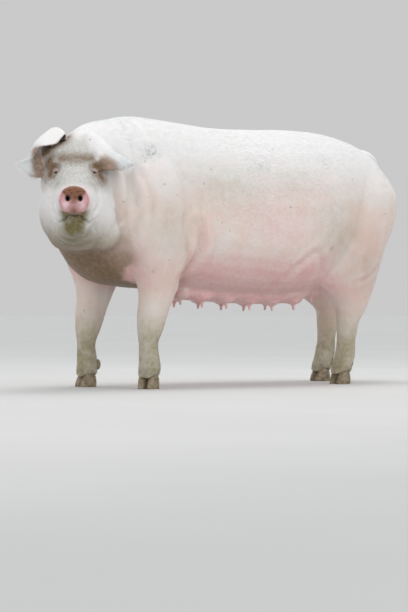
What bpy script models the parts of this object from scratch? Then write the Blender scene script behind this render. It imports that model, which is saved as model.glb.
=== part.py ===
# A white lop-eared sow, standing, with her head turned to her left.
# Metres, +Z up. She faces -X, so her left side is towards -Y. The origin is on the floor, under the
# middle of her box.

import math

import bmesh
import bpy
import numpy as np
from mathutils import Matrix, Vector
from mathutils.bvhtree import BVHTree

# Driving dimensions
GAP = 0.0003  # what touching nodes keep between them
CLEAR = 0.0007  # how far a copy is swollen along its normals, which are shorter across an edge
CLEAR_CORNER = 0.0001
HEAD_TURN = 53.8  # degrees, from straight ahead to the sow's left
POLL = Vector((-0.6658, -0.0765, 0.0))  # on the floor plan, where the head's own line starts
SNOUT_REACH = 0.350  # from the poll to the face of the snout disc
DISC_HEIGHT = 0.615
EYE_REACH = 0.150
EYE_SPREAD = 0.058  # from the middle of the face to each eyeball's centre
EYE_HEIGHT = 0.716
EYE_RADIUS = 0.0125
FOOT_SPREAD = 0.150  # from the middle plane to each foot
FORE_STRIDE = {"left": 0.0, "right": -0.045}
HIND_STRIDE = {"left": 0.0, "right": 0.165}
TOE_OUT = {"front_left": 28.0, "front_right": 4.0, "hind_left": 6.0, "hind_right": 6.0}
TEAT_PLACES = (-0.232, -0.137, -0.030, 0.075, 0.178, 0.278, 0.362)
TEAT_SPREAD = 0.078
TEAT_LENGTH = 0.022

# Sections of the trunk: place along X, top, bottom, half width, height of the widest point
TORSO = (
    (-0.66, 0.72, 0.50, 0.06, 0.60),
    (-0.62, 0.80, 0.43, 0.13, 0.60),
    (-0.54, 0.885, 0.365, 0.185, 0.60),
    (-0.43, 0.928, 0.345, 0.225, 0.60),
    (-0.28, 0.922, 0.335, 0.250, 0.58),
    (-0.08, 0.906, 0.312, 0.285, 0.55),
    (0.12, 0.908, 0.302, 0.295, 0.54),
    (0.28, 0.914, 0.312, 0.285, 0.56),
    (0.42, 0.908, 0.355, 0.255, 0.60),
    (0.54, 0.885, 0.43, 0.220, 0.64),
    (0.625, 0.85, 0.52, 0.180, 0.68),
    (0.688, 0.80, 0.60, 0.110, 0.70),
    (0.710, 0.76, 0.66, 0.040, 0.71),
)

# Sections of the neck: x, y, height of the widest point, turn in degrees, half width, rise, drop
NECK = (
    (-0.36, 0.0, 0.60, 0, 0.200, 0.310, 0.24),
    (-0.47, -0.010, 0.60, 10, 0.190, 0.318, 0.21),
    (-0.55, -0.040, 0.60, 24, 0.172, 0.305, 0.17),
    (-0.61, -0.075, 0.60, 38, 0.150, 0.288, 0.15),
    (-0.655, -0.110, 0.61, 50, 0.130, 0.245, 0.14),
)

# Sections of the head along its own line from the poll: reach, top, bottom, half width, widest point
SKULL = (
    (-0.10, 0.84, 0.50, 0.112, 0.66),
    (-0.02, 0.85, 0.472, 0.120, 0.65),
    (0.05, 0.835, 0.462, 0.122, 0.63),
    (0.10, 0.81, 0.468, 0.118, 0.61),
    (0.15, 0.775, 0.482, 0.108, 0.60),
    (0.20, 0.73, 0.510, 0.085, 0.61),
    (0.23, 0.70, 0.530, 0.060, 0.615),
)
MUZZLE = (
    (0.12, 0.775, 0.56, 0.085, 0.66),
    (0.20, 0.733, 0.555, 0.072, 0.64),
    (0.26, 0.700, 0.560, 0.060, 0.62),
    (0.31, 0.680, 0.565, 0.053, 0.617),
    (0.34, 0.668, 0.568, 0.050, 0.615),
)
JAW = (
    (0.03, 0.60, 0.462, 0.100, 0.53),
    (0.14, 0.59, 0.478, 0.085, 0.53),
    (0.22, 0.577, 0.494, 0.064, 0.535),
    (0.28, 0.572, 0.499, 0.049, 0.540),
    (0.315, 0.567, 0.505, 0.039, 0.543),
    (0.330, 0.562, 0.515, 0.026, 0.542),
)

# Level sections of a leg: x, distance from the middle plane, height, half width, size forward and back
FORELEG = (
    (-0.42, 0.130, 0.72, 0.070, 0.100, 0.120),
    (-0.42, 0.155, 0.62, 0.085, 0.140, 0.160),
    (-0.415, 0.165, 0.52, 0.085, 0.135, 0.150),
    (-0.40, 0.165, 0.44, 0.075, 0.110, 0.120),
    (-0.39, 0.160, 0.38, 0.065, 0.085, 0.085),
    (-0.388, 0.155, 0.32, 0.056, 0.066, 0.066),
    (-0.402, 0.150, 0.26, 0.050, 0.055, 0.055),
    (-0.411, 0.150, 0.205, 0.045, 0.047, 0.045),
    (-0.420, 0.150, 0.152, 0.033, 0.034, 0.033),
    (-0.416, 0.150, 0.102, 0.036, 0.038, 0.036),
    (-0.414, 0.150, 0.070, 0.038, 0.040, 0.038),
    (-0.420, 0.150, 0.034, 0.035, 0.038, 0.034),
)
HINDLEG = (
    (0.50, 0.100, 0.80, 0.080, 0.120, 0.140),
    (0.50, 0.120, 0.70, 0.115, 0.200, 0.205),
    (0.48, 0.130, 0.60, 0.120, 0.240, 0.222),
    (0.455, 0.138, 0.50, 0.112, 0.230, 0.192),
    (0.44, 0.145, 0.43, 0.100, 0.190, 0.175),
    (0.45, 0.150, 0.36, 0.078, 0.130, 0.140),
    (0.475, 0.150, 0.30, 0.058, 0.075, 0.090),
    (0.480, 0.150, 0.265, 0.047, 0.050, 0.072),
    (0.472, 0.150, 0.225, 0.039, 0.040, 0.048),
    (0.467, 0.150, 0.160, 0.033, 0.034, 0.036),
    (0.462, 0.150, 0.110, 0.036, 0.037, 0.040),
    (0.450, 0.150, 0.070, 0.038, 0.040, 0.040),
    (0.440, 0.150, 0.034, 0.035, 0.040, 0.036),
)

# Sections of the udder: place along X, top, bottom, half width
UDDER = (
    (-0.30, 0.365, 0.325, 0.040),
    (-0.22, 0.370, 0.305, 0.095),
    (-0.10, 0.370, 0.299, 0.115),
    (0.05, 0.370, 0.291, 0.130),
    (0.18, 0.380, 0.287, 0.135),
    (0.28, 0.400, 0.291, 0.132),
    (0.35, 0.415, 0.310, 0.115),
    (0.40, 0.410, 0.340, 0.070),
)

HOCK = 0.27  # below this height a leg steps by the whole stride
ELBOW_TURN = 0.60  # the height from which a foreleg swings, and a hind leg below
HIP_TURN = 0.62

# Rounded masses laid on the lofts. Of the head: reach, left, height, and sizes forward, left and up
HEAD_BALLS = (
    (0.120, 0.058, 0.735, 0.045, 0.038, 0.032),
    (0.120, -0.058, 0.735, 0.045, 0.038, 0.032),
    (0.060, 0.082, 0.590, 0.105, 0.050, 0.105),
    (0.060, -0.078, 0.600, 0.105, 0.045, 0.095),
    (0.020, 0.085, 0.525, 0.090, 0.062, 0.060),
    (0.010, -0.040, 0.525, 0.090, 0.055, 0.060),
    (0.030, 0.070, 0.765, 0.085, 0.055, 0.062),
    (0.030, -0.070, 0.765, 0.085, 0.055, 0.062),
    (-0.045, 0.120, 0.640, 0.080, 0.068, 0.170),
    (0.215, 0.045, 0.578, 0.050, 0.028, 0.040),
    (0.215, -0.045, 0.578, 0.050, 0.028, 0.040),
)
# Of the trunk, one on each side: x, left, height, and sizes forward, left and up
TRUNK_BALLS = (
    (-0.400, 0.165, 0.600, 0.150, 0.085, 0.200),
    (0.520, 0.100, 0.690, 0.150, 0.115, 0.150),
    (0.590, 0.065, 0.680, 0.095, 0.075, 0.150),
)

# Under the tail: place along X, height, and sizes forward, left and up
VULVA = (0.688, 0.615, 0.045, 0.024, 0.042)
# The cleft between the hams: its depth, half width, and where it ends above, below and in front
CLEFT = {"depth": 0.075, "half": 0.034, "top": 0.56, "bottom": 0.34, "front": 0.46,
         "top_fade": 0.06, "bottom_fade": 0.05, "front_fade": 0.10}

# The ears: rows from root to tip, each through the front edge, the crown and the back edge
EAR_LEFT = (
    ((0.030, 0.036, 0.812), (-0.020, 0.065, 0.800), (-0.050, 0.090, 0.770)),
    ((0.060, 0.028, 0.825), (0.000, 0.051, 0.855), (-0.060, 0.098, 0.795)),
    ((0.122, 0.044, 0.780), (0.070, 0.088, 0.832), (-0.020, 0.120, 0.765)),
    ((0.150, 0.068, 0.750), (0.105, 0.110, 0.805), (0.015, 0.130, 0.745)),
    ((0.150, 0.091, 0.727), (0.112, 0.128, 0.785), (0.035, 0.140, 0.738)),
    ((0.138, 0.124, 0.722), (0.108, 0.150, 0.772), (0.055, 0.158, 0.738)),
    ((0.118, 0.157, 0.728), (0.100, 0.172, 0.760), (0.070, 0.178, 0.742)),
    ((0.098, 0.186, 0.748), (0.088, 0.191, 0.754), (0.078, 0.191, 0.748)),
)
EAR_RIGHT = (
    ((0.030, -0.036, 0.812), (-0.015, -0.065, 0.800), (-0.035, -0.095, 0.765)),
    ((0.050, -0.034, 0.850), (0.000, -0.075, 0.866), (-0.005, -0.106, 0.785)),
    ((0.100, -0.062, 0.815), (0.050, -0.106, 0.848), (0.070, -0.104, 0.738)),
    ((0.128, -0.096, 0.806), (0.088, -0.134, 0.814), (0.098, -0.101, 0.718)),
    ((0.124, -0.120, 0.798), (0.086, -0.146, 0.788), (0.094, -0.108, 0.706)),
    ((0.106, -0.132, 0.772), (0.080, -0.152, 0.764), (0.078, -0.122, 0.702)),
    ((0.090, -0.160, 0.760), (0.072, -0.175, 0.752), (0.066, -0.146, 0.708)),
    ((0.080, -0.186, 0.756), (0.072, -0.194, 0.752), (0.064, -0.186, 0.740)),
)
EAR_THICKNESS = 0.007

# The snout disc, across and up from its middle, clockwise from the top; and its face and rim by reach
DISC_OUTLINE = ((0, 0.045), (0.028, 0.040), (0.044, 0.020), (0.048, 0.0), (0.042, -0.020),
                (0.028, -0.038), (0.010, -0.046), (-0.010, -0.046), (-0.028, -0.038),
                (-0.042, -0.020), (-0.048, 0.0), (-0.044, 0.020), (-0.028, 0.040))
DISC_RIM = ((-0.030, 0.90), (-0.012, 0.98), (-0.004, 1.0), (0.001, 0.97), (0.004, 0.88), (0.004, 0.60))
DISC_SIDES = 26
NOSTRIL_SPREAD = 0.020
NOSTRIL_RISE = 0.009
NOSTRIL_SIZE = (0.0065, 0.0085)
NOSTRIL_BORE = ((0.012, 1.3), (0.0, 1.0), (-0.012, 0.9), (-0.030, 0.5))  # reach from the disc, size
MOUTH_LINE = ((0.332, 0.0, 0.568), (0.326, 0.024, 0.564), (0.300, 0.046, 0.557), (0.258, 0.062, 0.556),
              (0.215, 0.074, 0.566))
MOUTH_RADIUS = 0.004

# A claw from the sole up: height, half width, size forward and back; and the dewclaws behind
CLAW = (
    (0.0, 0.0150, 0.034, 0.026),
    (0.006, 0.0162, 0.036, 0.028),
    (0.022, 0.0166, 0.030, 0.028),
    (0.040, 0.0160, 0.020, 0.024),
    (0.052, 0.0120, 0.010, 0.014),
)
CLAW_SPREAD = 0.0185
CLAW_APART = 4.0  # degrees that each claw points away from the other
DEWCLAW = (-0.034, 0.020, 0.078, 0.012, 0.009, 0.019)

# The tail's middle line and its radius
TAIL = (
    (0.660, 0.0, 0.835, 0.030),
    (0.715, 0.0, 0.822, 0.025),
    (0.748, 0.004, 0.780, 0.018),
    (0.762, 0.010, 0.720, 0.014),
    (0.768, 0.020, 0.650, 0.012),
    (0.765, 0.034, 0.590, 0.010),
    (0.757, 0.046, 0.550, 0.007),
)

VOXEL = 0.006
FUSE_ROUNDS = 14
FINE_TRIANGLES = 8200  # of the whole fused body, in the copy that the head is cut from
COARSE_TRIANGLES = 3300  # in the copy for the rest

# Cutters: centre and sizes of the rounded volumes that part the fused body into nodes
HEAD_CUT = (0.15, 0.0, 0.64, 0.26, 0.178, 0.30)
LEG_CUT = ((-0.05, 1.0), (0.28, 1.0), (0.36, 0.92), (0.42, 0.72), (0.455, 0.45), (0.47, 0.15))
FORE_CUT = (-0.405, 0.162, 0.135, 0.095)
HIND_CUT = (0.470, 0.158, 0.200, 0.092)
UDDER_CUT = ((-0.315, 0.040, 0.335), (-0.275, 0.115, 0.352), (0.05, 0.135, 0.362), (0.33, 0.125, 0.366),
             (0.395, 0.100, 0.360), (0.412, 0.050, 0.345))  # place along X, half width, top
UDDER_CUT_BOTTOM = 0.25
NECK_CUT = ((-0.500, 0.0, 0.66), 22)
FOOT_AT = {"fore": -0.420, "hind": 0.440}

EYE_OUT = 28.0  # degrees that each eye looks to its own side
LID_SIZE = (0.0155, 0.0165, 0.0155)  # forward, across and up
SLIT_SIZE = (0.014, 0.0145, 0.0058)

# A teat from inside the gland down: share of its length, radius; and how far it leans out, in metres
TEAT = ((-0.5, 0.0075), (0.0, 0.0075), (0.5, 0.0068), (0.85, 0.0062), (1.0, 0.0040))
TEAT_SPLAY = 0.004

# Base colour and roughness, read off the photograph
COLOURS = {
    "head": ((0.62, 0.52, 0.44), 0.75),
    "neck": ((0.74, 0.68, 0.63), 0.75),
    "torso": ((0.74, 0.66, 0.60), 0.75),
    "udder": ((0.66, 0.44, 0.42), 0.70),
    "leg": ((0.60, 0.55, 0.46), 0.75),
    "tail": ((0.66, 0.60, 0.54), 0.75),
    "ear": ((0.76, 0.68, 0.65), 0.70),
    "eye": ((0.05, 0.035, 0.03), 0.15),
    "hoof": ((0.30, 0.25, 0.19), 0.55),
    "dewclaw": ((0.32, 0.27, 0.20), 0.60),
}


def clear_scene():
    for obj in list(bpy.data.objects):
        bpy.data.objects.remove(obj, do_unlink=True)


def add_object(name, mesh, collection):
    obj = bpy.data.objects.new(name, mesh)
    collection.objects.link(obj)
    return obj


def facing(turn):
    """Forward and left on the floor plan, for something turned this many degrees to the sow's left."""
    angle = math.radians(turn)
    forward = Vector((-math.cos(angle), -math.sin(angle), 0))
    return forward, Vector((math.sin(angle), -math.cos(angle), 0))


def smooth_rows(rows, steps):
    """Rows of numbers with more rows between them, on a smooth curve through them all."""
    known = np.array(rows, float)
    padded = np.vstack([2 * known[0] - known[1], known, 2 * known[-1] - known[-2]])
    made = []
    for i in range(len(known) - 1):
        p0, p1, p2, p3 = padded[i : i + 4]
        for t in np.arange(steps) / steps:
            made.append(
                0.5 * (2 * p1 + (p2 - p0) * t + (2 * p0 - 5 * p1 + 4 * p2 - p3) * t**2
                       + (3 * p1 - p0 - 3 * p2 + p3) * t**3)
            )
    made.append(known[-1])
    return np.array(made)


def rounded_ring(centre, side, rise, half_width, plus, minus, sides, power):
    """A closed section in the plane of side and rise: an ellipse with unlike upper and lower halves."""
    points = []
    for k in range(sides):
        angle = 2 * math.pi * k / sides
        c, s = math.cos(angle), math.sin(angle)
        across = math.copysign(abs(c) ** (2 / power), c) * half_width
        along = math.copysign(abs(s) ** (2 / power), s) * (plus if s > 0 else minus)
        points.append(centre + side * across + rise * along)
    return points


def loft(name, rings, collection):
    """A closed mesh through rings of equally many points, with its two ends filled."""
    bm = bmesh.new()
    made = [[bm.verts.new(p) for p in ring] for ring in rings]
    for low, high in zip(made, made[1:]):
        for k in range(len(low)):
            n = (k + 1) % len(low)
            bm.faces.new((low[k], low[n], high[n], high[k]))
    bmesh.ops.triangulate(bm, faces=bm.faces, quad_method="FIXED")
    bm.faces.new(made[0])
    bm.faces.new(made[-1])
    bmesh.ops.recalc_face_normals(bm, faces=bm.faces)
    mesh = bpy.data.meshes.new(name)
    bm.to_mesh(mesh)
    bm.free()
    return add_object(name, mesh, collection)


def trunk_loft(name, rows, collection, sides=32, steps=5, power=2.25):
    rings = []
    for x, top, bottom, half, widest in smooth_rows(rows, steps):
        rings.append(rounded_ring(Vector((x, 0, widest)), Vector((0, 1, 0)), Vector((0, 0, 1)),
                                  half, top - widest, widest - bottom, sides, power))
    return loft(name, rings, collection)


def neck_loft(name, rows, collection, sides=32, steps=5, power=2.2):
    rings = []
    for x, y, widest, turn, half, rise, drop in smooth_rows(rows, steps):
        left = facing(turn)[1]
        rings.append(rounded_ring(Vector((x, y, widest)), left, Vector((0, 0, 1)),
                                  half, rise, drop, sides, power))
    return loft(name, rings, collection)


def head_point(reach, left, height):
    """A point of the head from its own sizes: forward of the poll, to the left, and above the floor."""
    forward, sideways = facing(HEAD_TURN)
    return POLL + forward * reach + sideways * left + Vector((0, 0, height))


def head_loft(name, rows, collection, sides=28, steps=5, power=2.2):
    rings = []
    sideways = facing(HEAD_TURN)[1]
    for reach, top, bottom, half, widest in smooth_rows(rows, steps):
        rings.append(rounded_ring(head_point(reach, 0, widest), sideways, Vector((0, 0, 1)),
                                  half, top - widest, widest - bottom, sides, power))
    return loft(name, rings, collection)


def leg_loft(name, rows, side, stride, hip, collection, sides=24, steps=4, power=2.1):
    """A leg whose lower end steps forward or back by the stride, sheared from the hip down."""
    forward = Vector((-1, 0, 0))
    outward = Vector((0, -1 if side == "left" else 1, 0))
    rings = []
    for x, spread, height, half, ahead, behind in smooth_rows(rows, steps):
        step = stride * min(1, max(0, (hip - height) / (hip - HOCK)))
        centre = Vector((x + step, 0, height)) + outward * spread
        rings.append(rounded_ring(centre, outward, forward, half, ahead, behind, sides, power))
    return loft(name, rings, collection)


def ball(name, centre, sizes, turn, collection, around=24):
    """An ellipsoid with its sizes forward, to the left and up, turned with the body it belongs to."""
    forward, left = facing(turn)
    bm = bmesh.new()
    bmesh.ops.create_uvsphere(bm, u_segments=around, v_segments=around * 2 // 3, radius=1)
    axes = Matrix((forward * sizes[0], left * sizes[1], Vector((0, 0, 1)) * sizes[2])).transposed()
    bmesh.ops.transform(bm, matrix=Matrix.Translation(centre) @ axes.to_4x4(), verts=bm.verts)
    bmesh.ops.recalc_face_normals(bm, faces=bm.faces)
    mesh = bpy.data.meshes.new(name)
    bm.to_mesh(mesh)
    bm.free()
    return add_object(name, mesh, collection)


def tube(name, rows, sides, collection, steps=3):
    """A round tube along a smooth path, with its radius as the fourth number of each row."""
    path = smooth_rows(rows, steps)
    rings = []
    side = Vector((0, 1, 0))
    for i, row in enumerate(path):
        ahead = Vector(path[min(i + 1, len(path) - 1)][:3]) - Vector(path[max(i - 1, 0)][:3])
        ahead.normalize()
        side = (side - ahead * side.dot(ahead)).normalized()
        rings.append(rounded_ring(Vector(row[:3]), side, ahead.cross(side), row[3], row[3], row[3], sides, 2))
    return loft(name, rings, collection)


def apply_modifiers(obj):
    graph = bpy.context.evaluated_depsgraph_get()
    mesh = bpy.data.meshes.new_from_object(obj.evaluated_get(graph))
    obj.modifiers.clear()
    obj.data = mesh


def boolean(obj, other, operation, solver="EXACT"):
    modifier = obj.modifiers.new(operation.lower(), "BOOLEAN")
    modifier.object = other
    modifier.operation = operation
    modifier.solver = solver
    apply_modifiers(obj)


def copy_of(obj, name, collection):
    return add_object(name, obj.data.copy(), collection)


def discard(objects):
    for obj in objects:
        bpy.data.objects.remove(obj, do_unlink=True)


def joined(name, objects, collection):
    bm = bmesh.new()
    for obj in objects:
        bm.from_mesh(obj.data)
    mesh = bpy.data.meshes.new(name)
    bm.to_mesh(mesh)
    bm.free()
    return add_object(name, mesh, collection)


def keep_largest(obj):
    """Only the largest closed surface stays, so that no crumb of a cut is left."""
    bm = bmesh.new()
    bm.from_mesh(obj.data)
    left = set(bm.verts)
    groups = []
    while left:
        group = [left.pop()]
        for vert in group:
            for edge in vert.link_edges:
                other = edge.other_vert(vert)
                if other in left:
                    left.discard(other)
                    group.append(other)
        groups.append(group)
    groups.sort(key=len)
    for group in groups[:-1]:
        bmesh.ops.delete(bm, geom=group, context="VERTS")
    bm.to_mesh(obj.data)
    bm.free()


def build_masses(collection):
    """The rough shapes of the whole animal, overlapping, ready to be fused."""
    made = [
        trunk_loft("torso_mass", TORSO, collection),
        neck_loft("neck_mass", NECK, collection),
        head_loft("skull_mass", SKULL, collection),
        head_loft("muzzle_mass", MUZZLE, collection),
        head_loft("jaw_mass", JAW, collection),
        udder_loft(collection),
    ]
    for reach, left, height, *sizes in HEAD_BALLS:
        made.append(ball("head_ball", head_point(reach, left, height), sizes, HEAD_TURN, collection))
    x, height, *sizes = VULVA
    made.append(ball("vulva", Vector((x, 0, height)), sizes, 0, collection, 16))
    for side, sign in (("left", -1), ("right", 1)):
        made.append(leg_loft("foreleg_" + side, FORELEG, side, FORE_STRIDE[side], ELBOW_TURN, collection))
        made.append(leg_loft("hindleg_" + side, HINDLEG, side, HIND_STRIDE[side], HIP_TURN, collection))
        for x, left, height, *sizes in TRUNK_BALLS:
            made.append(ball("trunk_ball", Vector((x, sign * left, height)), sizes, 0, collection))
        for place in TEAT_PLACES:
            bottom = udder_bottom(place)
            centre = Vector((place, sign * TEAT_SPREAD, bottom + 0.014))
            made.append(ball("gland", centre, (0.038, 0.034, 0.022), 0, collection))
    return made


def udder_loft(collection):
    rings = []
    for x, top, bottom, half in smooth_rows(UDDER, 5):
        middle = (top + bottom) / 2
        rings.append(rounded_ring(Vector((x, 0, middle)), Vector((0, 1, 0)), Vector((0, 0, 1)),
                                  half, top - middle, middle - bottom, 28, 2.6))
    return loft("udder_mass", rings, collection)


def udder_bottom(x):
    rows = np.array(UDDER)
    return float(np.interp(x, rows[:, 0], rows[:, 2]))


def fused(masses, collection):
    """One soft surface through all the masses."""
    body = joined("body", masses, collection)
    remesh = body.modifiers.new("fuse", "REMESH")
    remesh.mode = "VOXEL"
    remesh.voxel_size = VOXEL
    soften = body.modifiers.new("soften", "SMOOTH")
    soften.factor = 0.5
    soften.iterations = FUSE_ROUNDS
    apply_modifiers(body)
    keep_largest(body)
    press_cleft(body)
    return body


def press_cleft(body):
    """Draws the surface forward along the middle line behind, between the hams."""
    for vert in body.data.vertices:
        x, y, z = vert.co
        if x < CLEFT["front"]:
            continue
        across = math.exp(-((y / CLEFT["half"]) ** 2))
        below_top = min(1, max(0, (CLEFT["top"] - z) / CLEFT["top_fade"]))
        above_bottom = min(1, max(0, (z - CLEFT["bottom"]) / CLEFT["bottom_fade"]))
        behind = min(1, (x - CLEFT["front"]) / CLEFT["front_fade"])
        vert.co.x = x - CLEFT["depth"] * across * below_top * above_bottom * behind


def sparser(body, name, triangles, collection):
    copy = copy_of(body, name, collection)
    full = sum(len(face.vertices) - 2 for face in copy.data.polygons)
    fewer = copy.modifiers.new("fewer", "DECIMATE")
    fewer.ratio = triangles / full
    apply_modifiers(copy)
    return copy


def leg_cutter(side, kind, grow, collection):
    """An upright volume round a leg, domed at the top, sheared as the leg is."""
    x, spread, long, half = FORE_CUT if kind == "fore" else HIND_CUT
    stride = (FORE_STRIDE if kind == "fore" else HIND_STRIDE)[side]
    hip = ELBOW_TURN if kind == "fore" else HIP_TURN
    outward = Vector((0, -1 if side == "left" else 1, 0))
    rings = []
    for height, factor in LEG_CUT:
        step = stride * min(1, max(0, (hip - height) / (hip - HOCK)))
        centre = Vector((x + step, 0, height + (grow if height > 0 else -grow))) + outward * spread
        size = long * factor + grow
        rings.append(rounded_ring(centre, outward, Vector((-1, 0, 0)), half * factor + grow,
                                  size, size, 20, 2.6))
    return loft("leg_cutter", rings, collection)


def box_ahead(grow, collection):
    """Everything ahead of the slanted plane between neck and torso."""
    (x, y, z), lean = NECK_CUT
    bm = bmesh.new()
    bmesh.ops.create_cube(bm, size=2)
    matrix = (Matrix.Translation((x, y, z)) @ Matrix.Rotation(math.radians(-lean), 4, "Y")
              @ Matrix.Translation((-1 + grow, 0, 0)))
    bmesh.ops.transform(bm, matrix=matrix, verts=bm.verts)
    mesh = bpy.data.meshes.new("neck_cutter")
    bm.to_mesh(mesh)
    bm.free()
    return add_object("neck_cutter", mesh, collection)


def head_cutter(grow, collection):
    reach, left, height, *sizes = HEAD_CUT
    return ball("head_cutter", head_point(reach, left, height), [v + grow for v in sizes], HEAD_TURN, collection)


def udder_cutter(grow, collection):
    rings = []
    for i, (x, half, top) in enumerate(UDDER_CUT):
        x += grow * (-1 if i == 0 else i == len(UDDER_CUT) - 1)
        middle = (top + UDDER_CUT_BOTTOM) / 2
        rise = top - middle + grow
        rings.append(rounded_ring(Vector((x, 0, middle)), Vector((0, 1, 0)), Vector((0, 0, 1)),
                                  half + grow, rise, rise, 20, 3))
    return loft("udder_cutter", rings, collection)


def take(name, source, make_cutter, sow, cutters):
    """The part of the source inside the cutter becomes a node of this name."""
    cutter = make_cutter(0, cutters)
    piece = copy_of(source, name, sow)
    boolean(piece, cutter, "INTERSECT")
    discard([cutter])
    keep_largest(piece)
    return piece


def clear_of(obj, make_cutter, cutters):
    cutter = make_cutter(GAP, cutters)
    boolean(obj, cutter, "DIFFERENCE")
    discard([cutter])


def claw(name, centre, turn, sow):
    forward, left = facing(turn)
    rings = []
    for height, half, ahead, behind in CLAW:
        rings.append(rounded_ring(centre + Vector((0, 0, height)), left, forward, half, ahead, behind, 14, 2.2))
    return loft(name, rings, sow)


def add_foot(leg, name, side, kind, sow, cutters):
    """Two claws on the floor and two dewclaws behind, with the leg cut clear of them."""
    sign = -1 if side == "left" else 1
    stride = (FORE_STRIDE if kind == "fore" else HIND_STRIDE)[side]
    turn = -sign * TOE_OUT[name]
    forward, left = facing(turn)
    middle = Vector((FOOT_AT[kind] + stride, sign * FOOT_SPREAD, 0))
    made = []
    for label, way in (("outer", sign), ("inner", -sign)):
        across = left * (-way)
        made.append(claw("hoof_" + name + "_" + label, middle + across * CLAW_SPREAD, turn + CLAW_APART * way, sow))
        behind, apart, height, *sizes = DEWCLAW
        centre = middle + forward * behind + across * apart + Vector((0, 0, height))
        made.append(ball("dewclaw_" + name + "_" + label, centre, sizes, turn, sow, 9))
    for piece in made:
        cut_clear(leg, piece, cutters)
    keep_largest(leg)


def cut_clear(obj, other, cutters):
    """Cuts the other node out of this one, with the gap between them, and again at its very corners."""
    for grow in (CLEAR, CLEAR_CORNER):
        grown = copy_of(other, "grown", cutters)
        swell(grown, grow)
        boolean(obj, grown, "DIFFERENCE", "MANIFOLD")
        discard([grown])


def swell(obj, grow):
    """Moves every vertex out along its own normal, for a cutter a little larger than its node."""
    bm = bmesh.new()
    bm.from_mesh(obj.data)
    bm.normal_update()
    for vert, normal in [(vert, vert.normal.copy()) for vert in bm.verts]:
        vert.co += normal * grow
    bm.to_mesh(obj.data)
    bm.free()


def ear(name, rows, sow):
    """A cupped blade: curves through three points across, smooth along, thinner towards its edges."""
    flat = smooth_rows([[v for point in row for v in point] for row in rows], 4)
    across = 9
    grid = []
    for row in flat:
        edge, crown, back = (head_point(*row[k : k + 3]) for k in (0, 3, 6))
        middle = crown * 2 - (edge + back) / 2
        shares = [k / (across - 1) for k in range(across)]
        grid.append([edge * (1 - t) ** 2 + middle * 2 * t * (1 - t) + back * t**2 for t in shares])
    rings = []
    for i, line in enumerate(grid):
        before, after = grid[max(i - 1, 0)], grid[min(i + 1, len(grid) - 1)]
        outside, inside = [], []
        taper = 1 - 0.55 * i / (len(grid) - 1)
        for k, point in enumerate(line):
            along = after[k] - before[k]
            over = line[min(k + 1, across - 1)] - line[max(k - 1, 0)]
            bulge = math.sin(math.pi * (k + 0.6) / (across + 0.2)) ** 0.5
            half = over.cross(along).normalized() * EAR_THICKNESS / 2 * bulge * taper
            outside.append(point + half)
            inside.append(point - half)
        rings.append(outside + inside[::-1])
    return loft(name, rings, sow)


def add_snout(head, cutters):
    rings = []
    for reach, size in DISC_RIM:
        ring = []
        for k in range(DISC_SIDES):
            u, v = outline_at(k / DISC_SIDES)
            ring.append(head_point(SNOUT_REACH + reach, u * size, DISC_HEIGHT + v * size))
        rings.append(ring)
    disc = loft("disc", rings, cutters)
    boolean(head, disc, "UNION")
    discard([disc])


def outline_at(share):
    """A point of the disc's outline, at this share of the way round it."""
    rows = np.array(DISC_OUTLINE + DISC_OUTLINE[:1], float)
    at = share * len(DISC_OUTLINE)
    k = int(at)
    t = at - k
    count = len(DISC_OUTLINE)
    p0, p1, p2, p3 = (rows[(k + j) % count] for j in (-1, 0, 1, 2))
    return 0.5 * (2 * p1 + (p2 - p0) * t + (2 * p0 - 5 * p1 + 4 * p2 - p3) * t**2
                  + (3 * p1 - p0 - 3 * p2 + p3) * t**3)


def cut_nostrils(head, cutters):
    for sign in (-1, 1):
        rows = []
        for depth, size in NOSTRIL_BORE:
            rows.append((SNOUT_REACH + depth, sign * (NOSTRIL_SPREAD + depth * 0.1), size))
        rings = []
        for reach, left, size in rows:
            ring = []
            for k in range(14):
                angle = 2 * math.pi * k / 14
                ring.append(head_point(reach, left + math.cos(angle) * NOSTRIL_SIZE[0] * size,
                                       DISC_HEIGHT + NOSTRIL_RISE + math.sin(angle) * NOSTRIL_SIZE[1] * size))
            rings.append(ring)
        cutter = loft("nostril", rings, cutters)
        boolean(head, cutter, "DIFFERENCE")
        discard([cutter])


def cut_mouth(head, cutters):
    """A groove from one corner of the mouth round under the disc to the other."""
    line = [head_point(r, -l, h) for r, l, h in MOUTH_LINE[:0:-1]] + [head_point(*p) for p in MOUTH_LINE]
    bm = bmesh.new()
    bm.from_mesh(head.data)
    tree = BVHTree.FromBMesh(bm)
    rows = []
    for point in smooth_rows([tuple(p) for p in line], 2):
        spot, normal, index, distance = tree.find_nearest(Vector(point))
        rows.append((*spot, MOUTH_RADIUS))
    bm.free()
    rows[0] = (*rows[0][:3], MOUTH_RADIUS / 2)
    rows[-1] = (*rows[-1][:3], MOUTH_RADIUS / 2)
    cutter = tube("mouth", rows, 6, cutters, 1)
    boolean(head, cutter, "DIFFERENCE")
    discard([cutter])


def add_eye(head, side, sow, cutters):
    """An eyeball in a socket, behind lids that stand a little proud with a slit between them."""
    sign = 1 if side == "left" else -1
    centre = head_point(EYE_REACH, sign * EYE_SPREAD, EYE_HEIGHT)
    turn = HEAD_TURN + sign * EYE_OUT
    forward, left = facing(turn)
    lids = ball("lids", centre, LID_SIZE, turn, cutters, 15)
    boolean(head, lids, "UNION")
    socket = ball("socket", centre, [EYE_RADIUS + GAP] * 3, turn, cutters, 15)
    slit = ball("slit", centre + forward * EYE_RADIUS * 1.3, SLIT_SIZE, turn, cutters, 12)
    boolean(head, socket, "DIFFERENCE")
    boolean(head, slit, "DIFFERENCE")
    discard([lids, socket, slit])
    eyeball = ball("eye_" + side, centre, [EYE_RADIUS] * 3, turn, sow, 15)
    return eyeball


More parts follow.
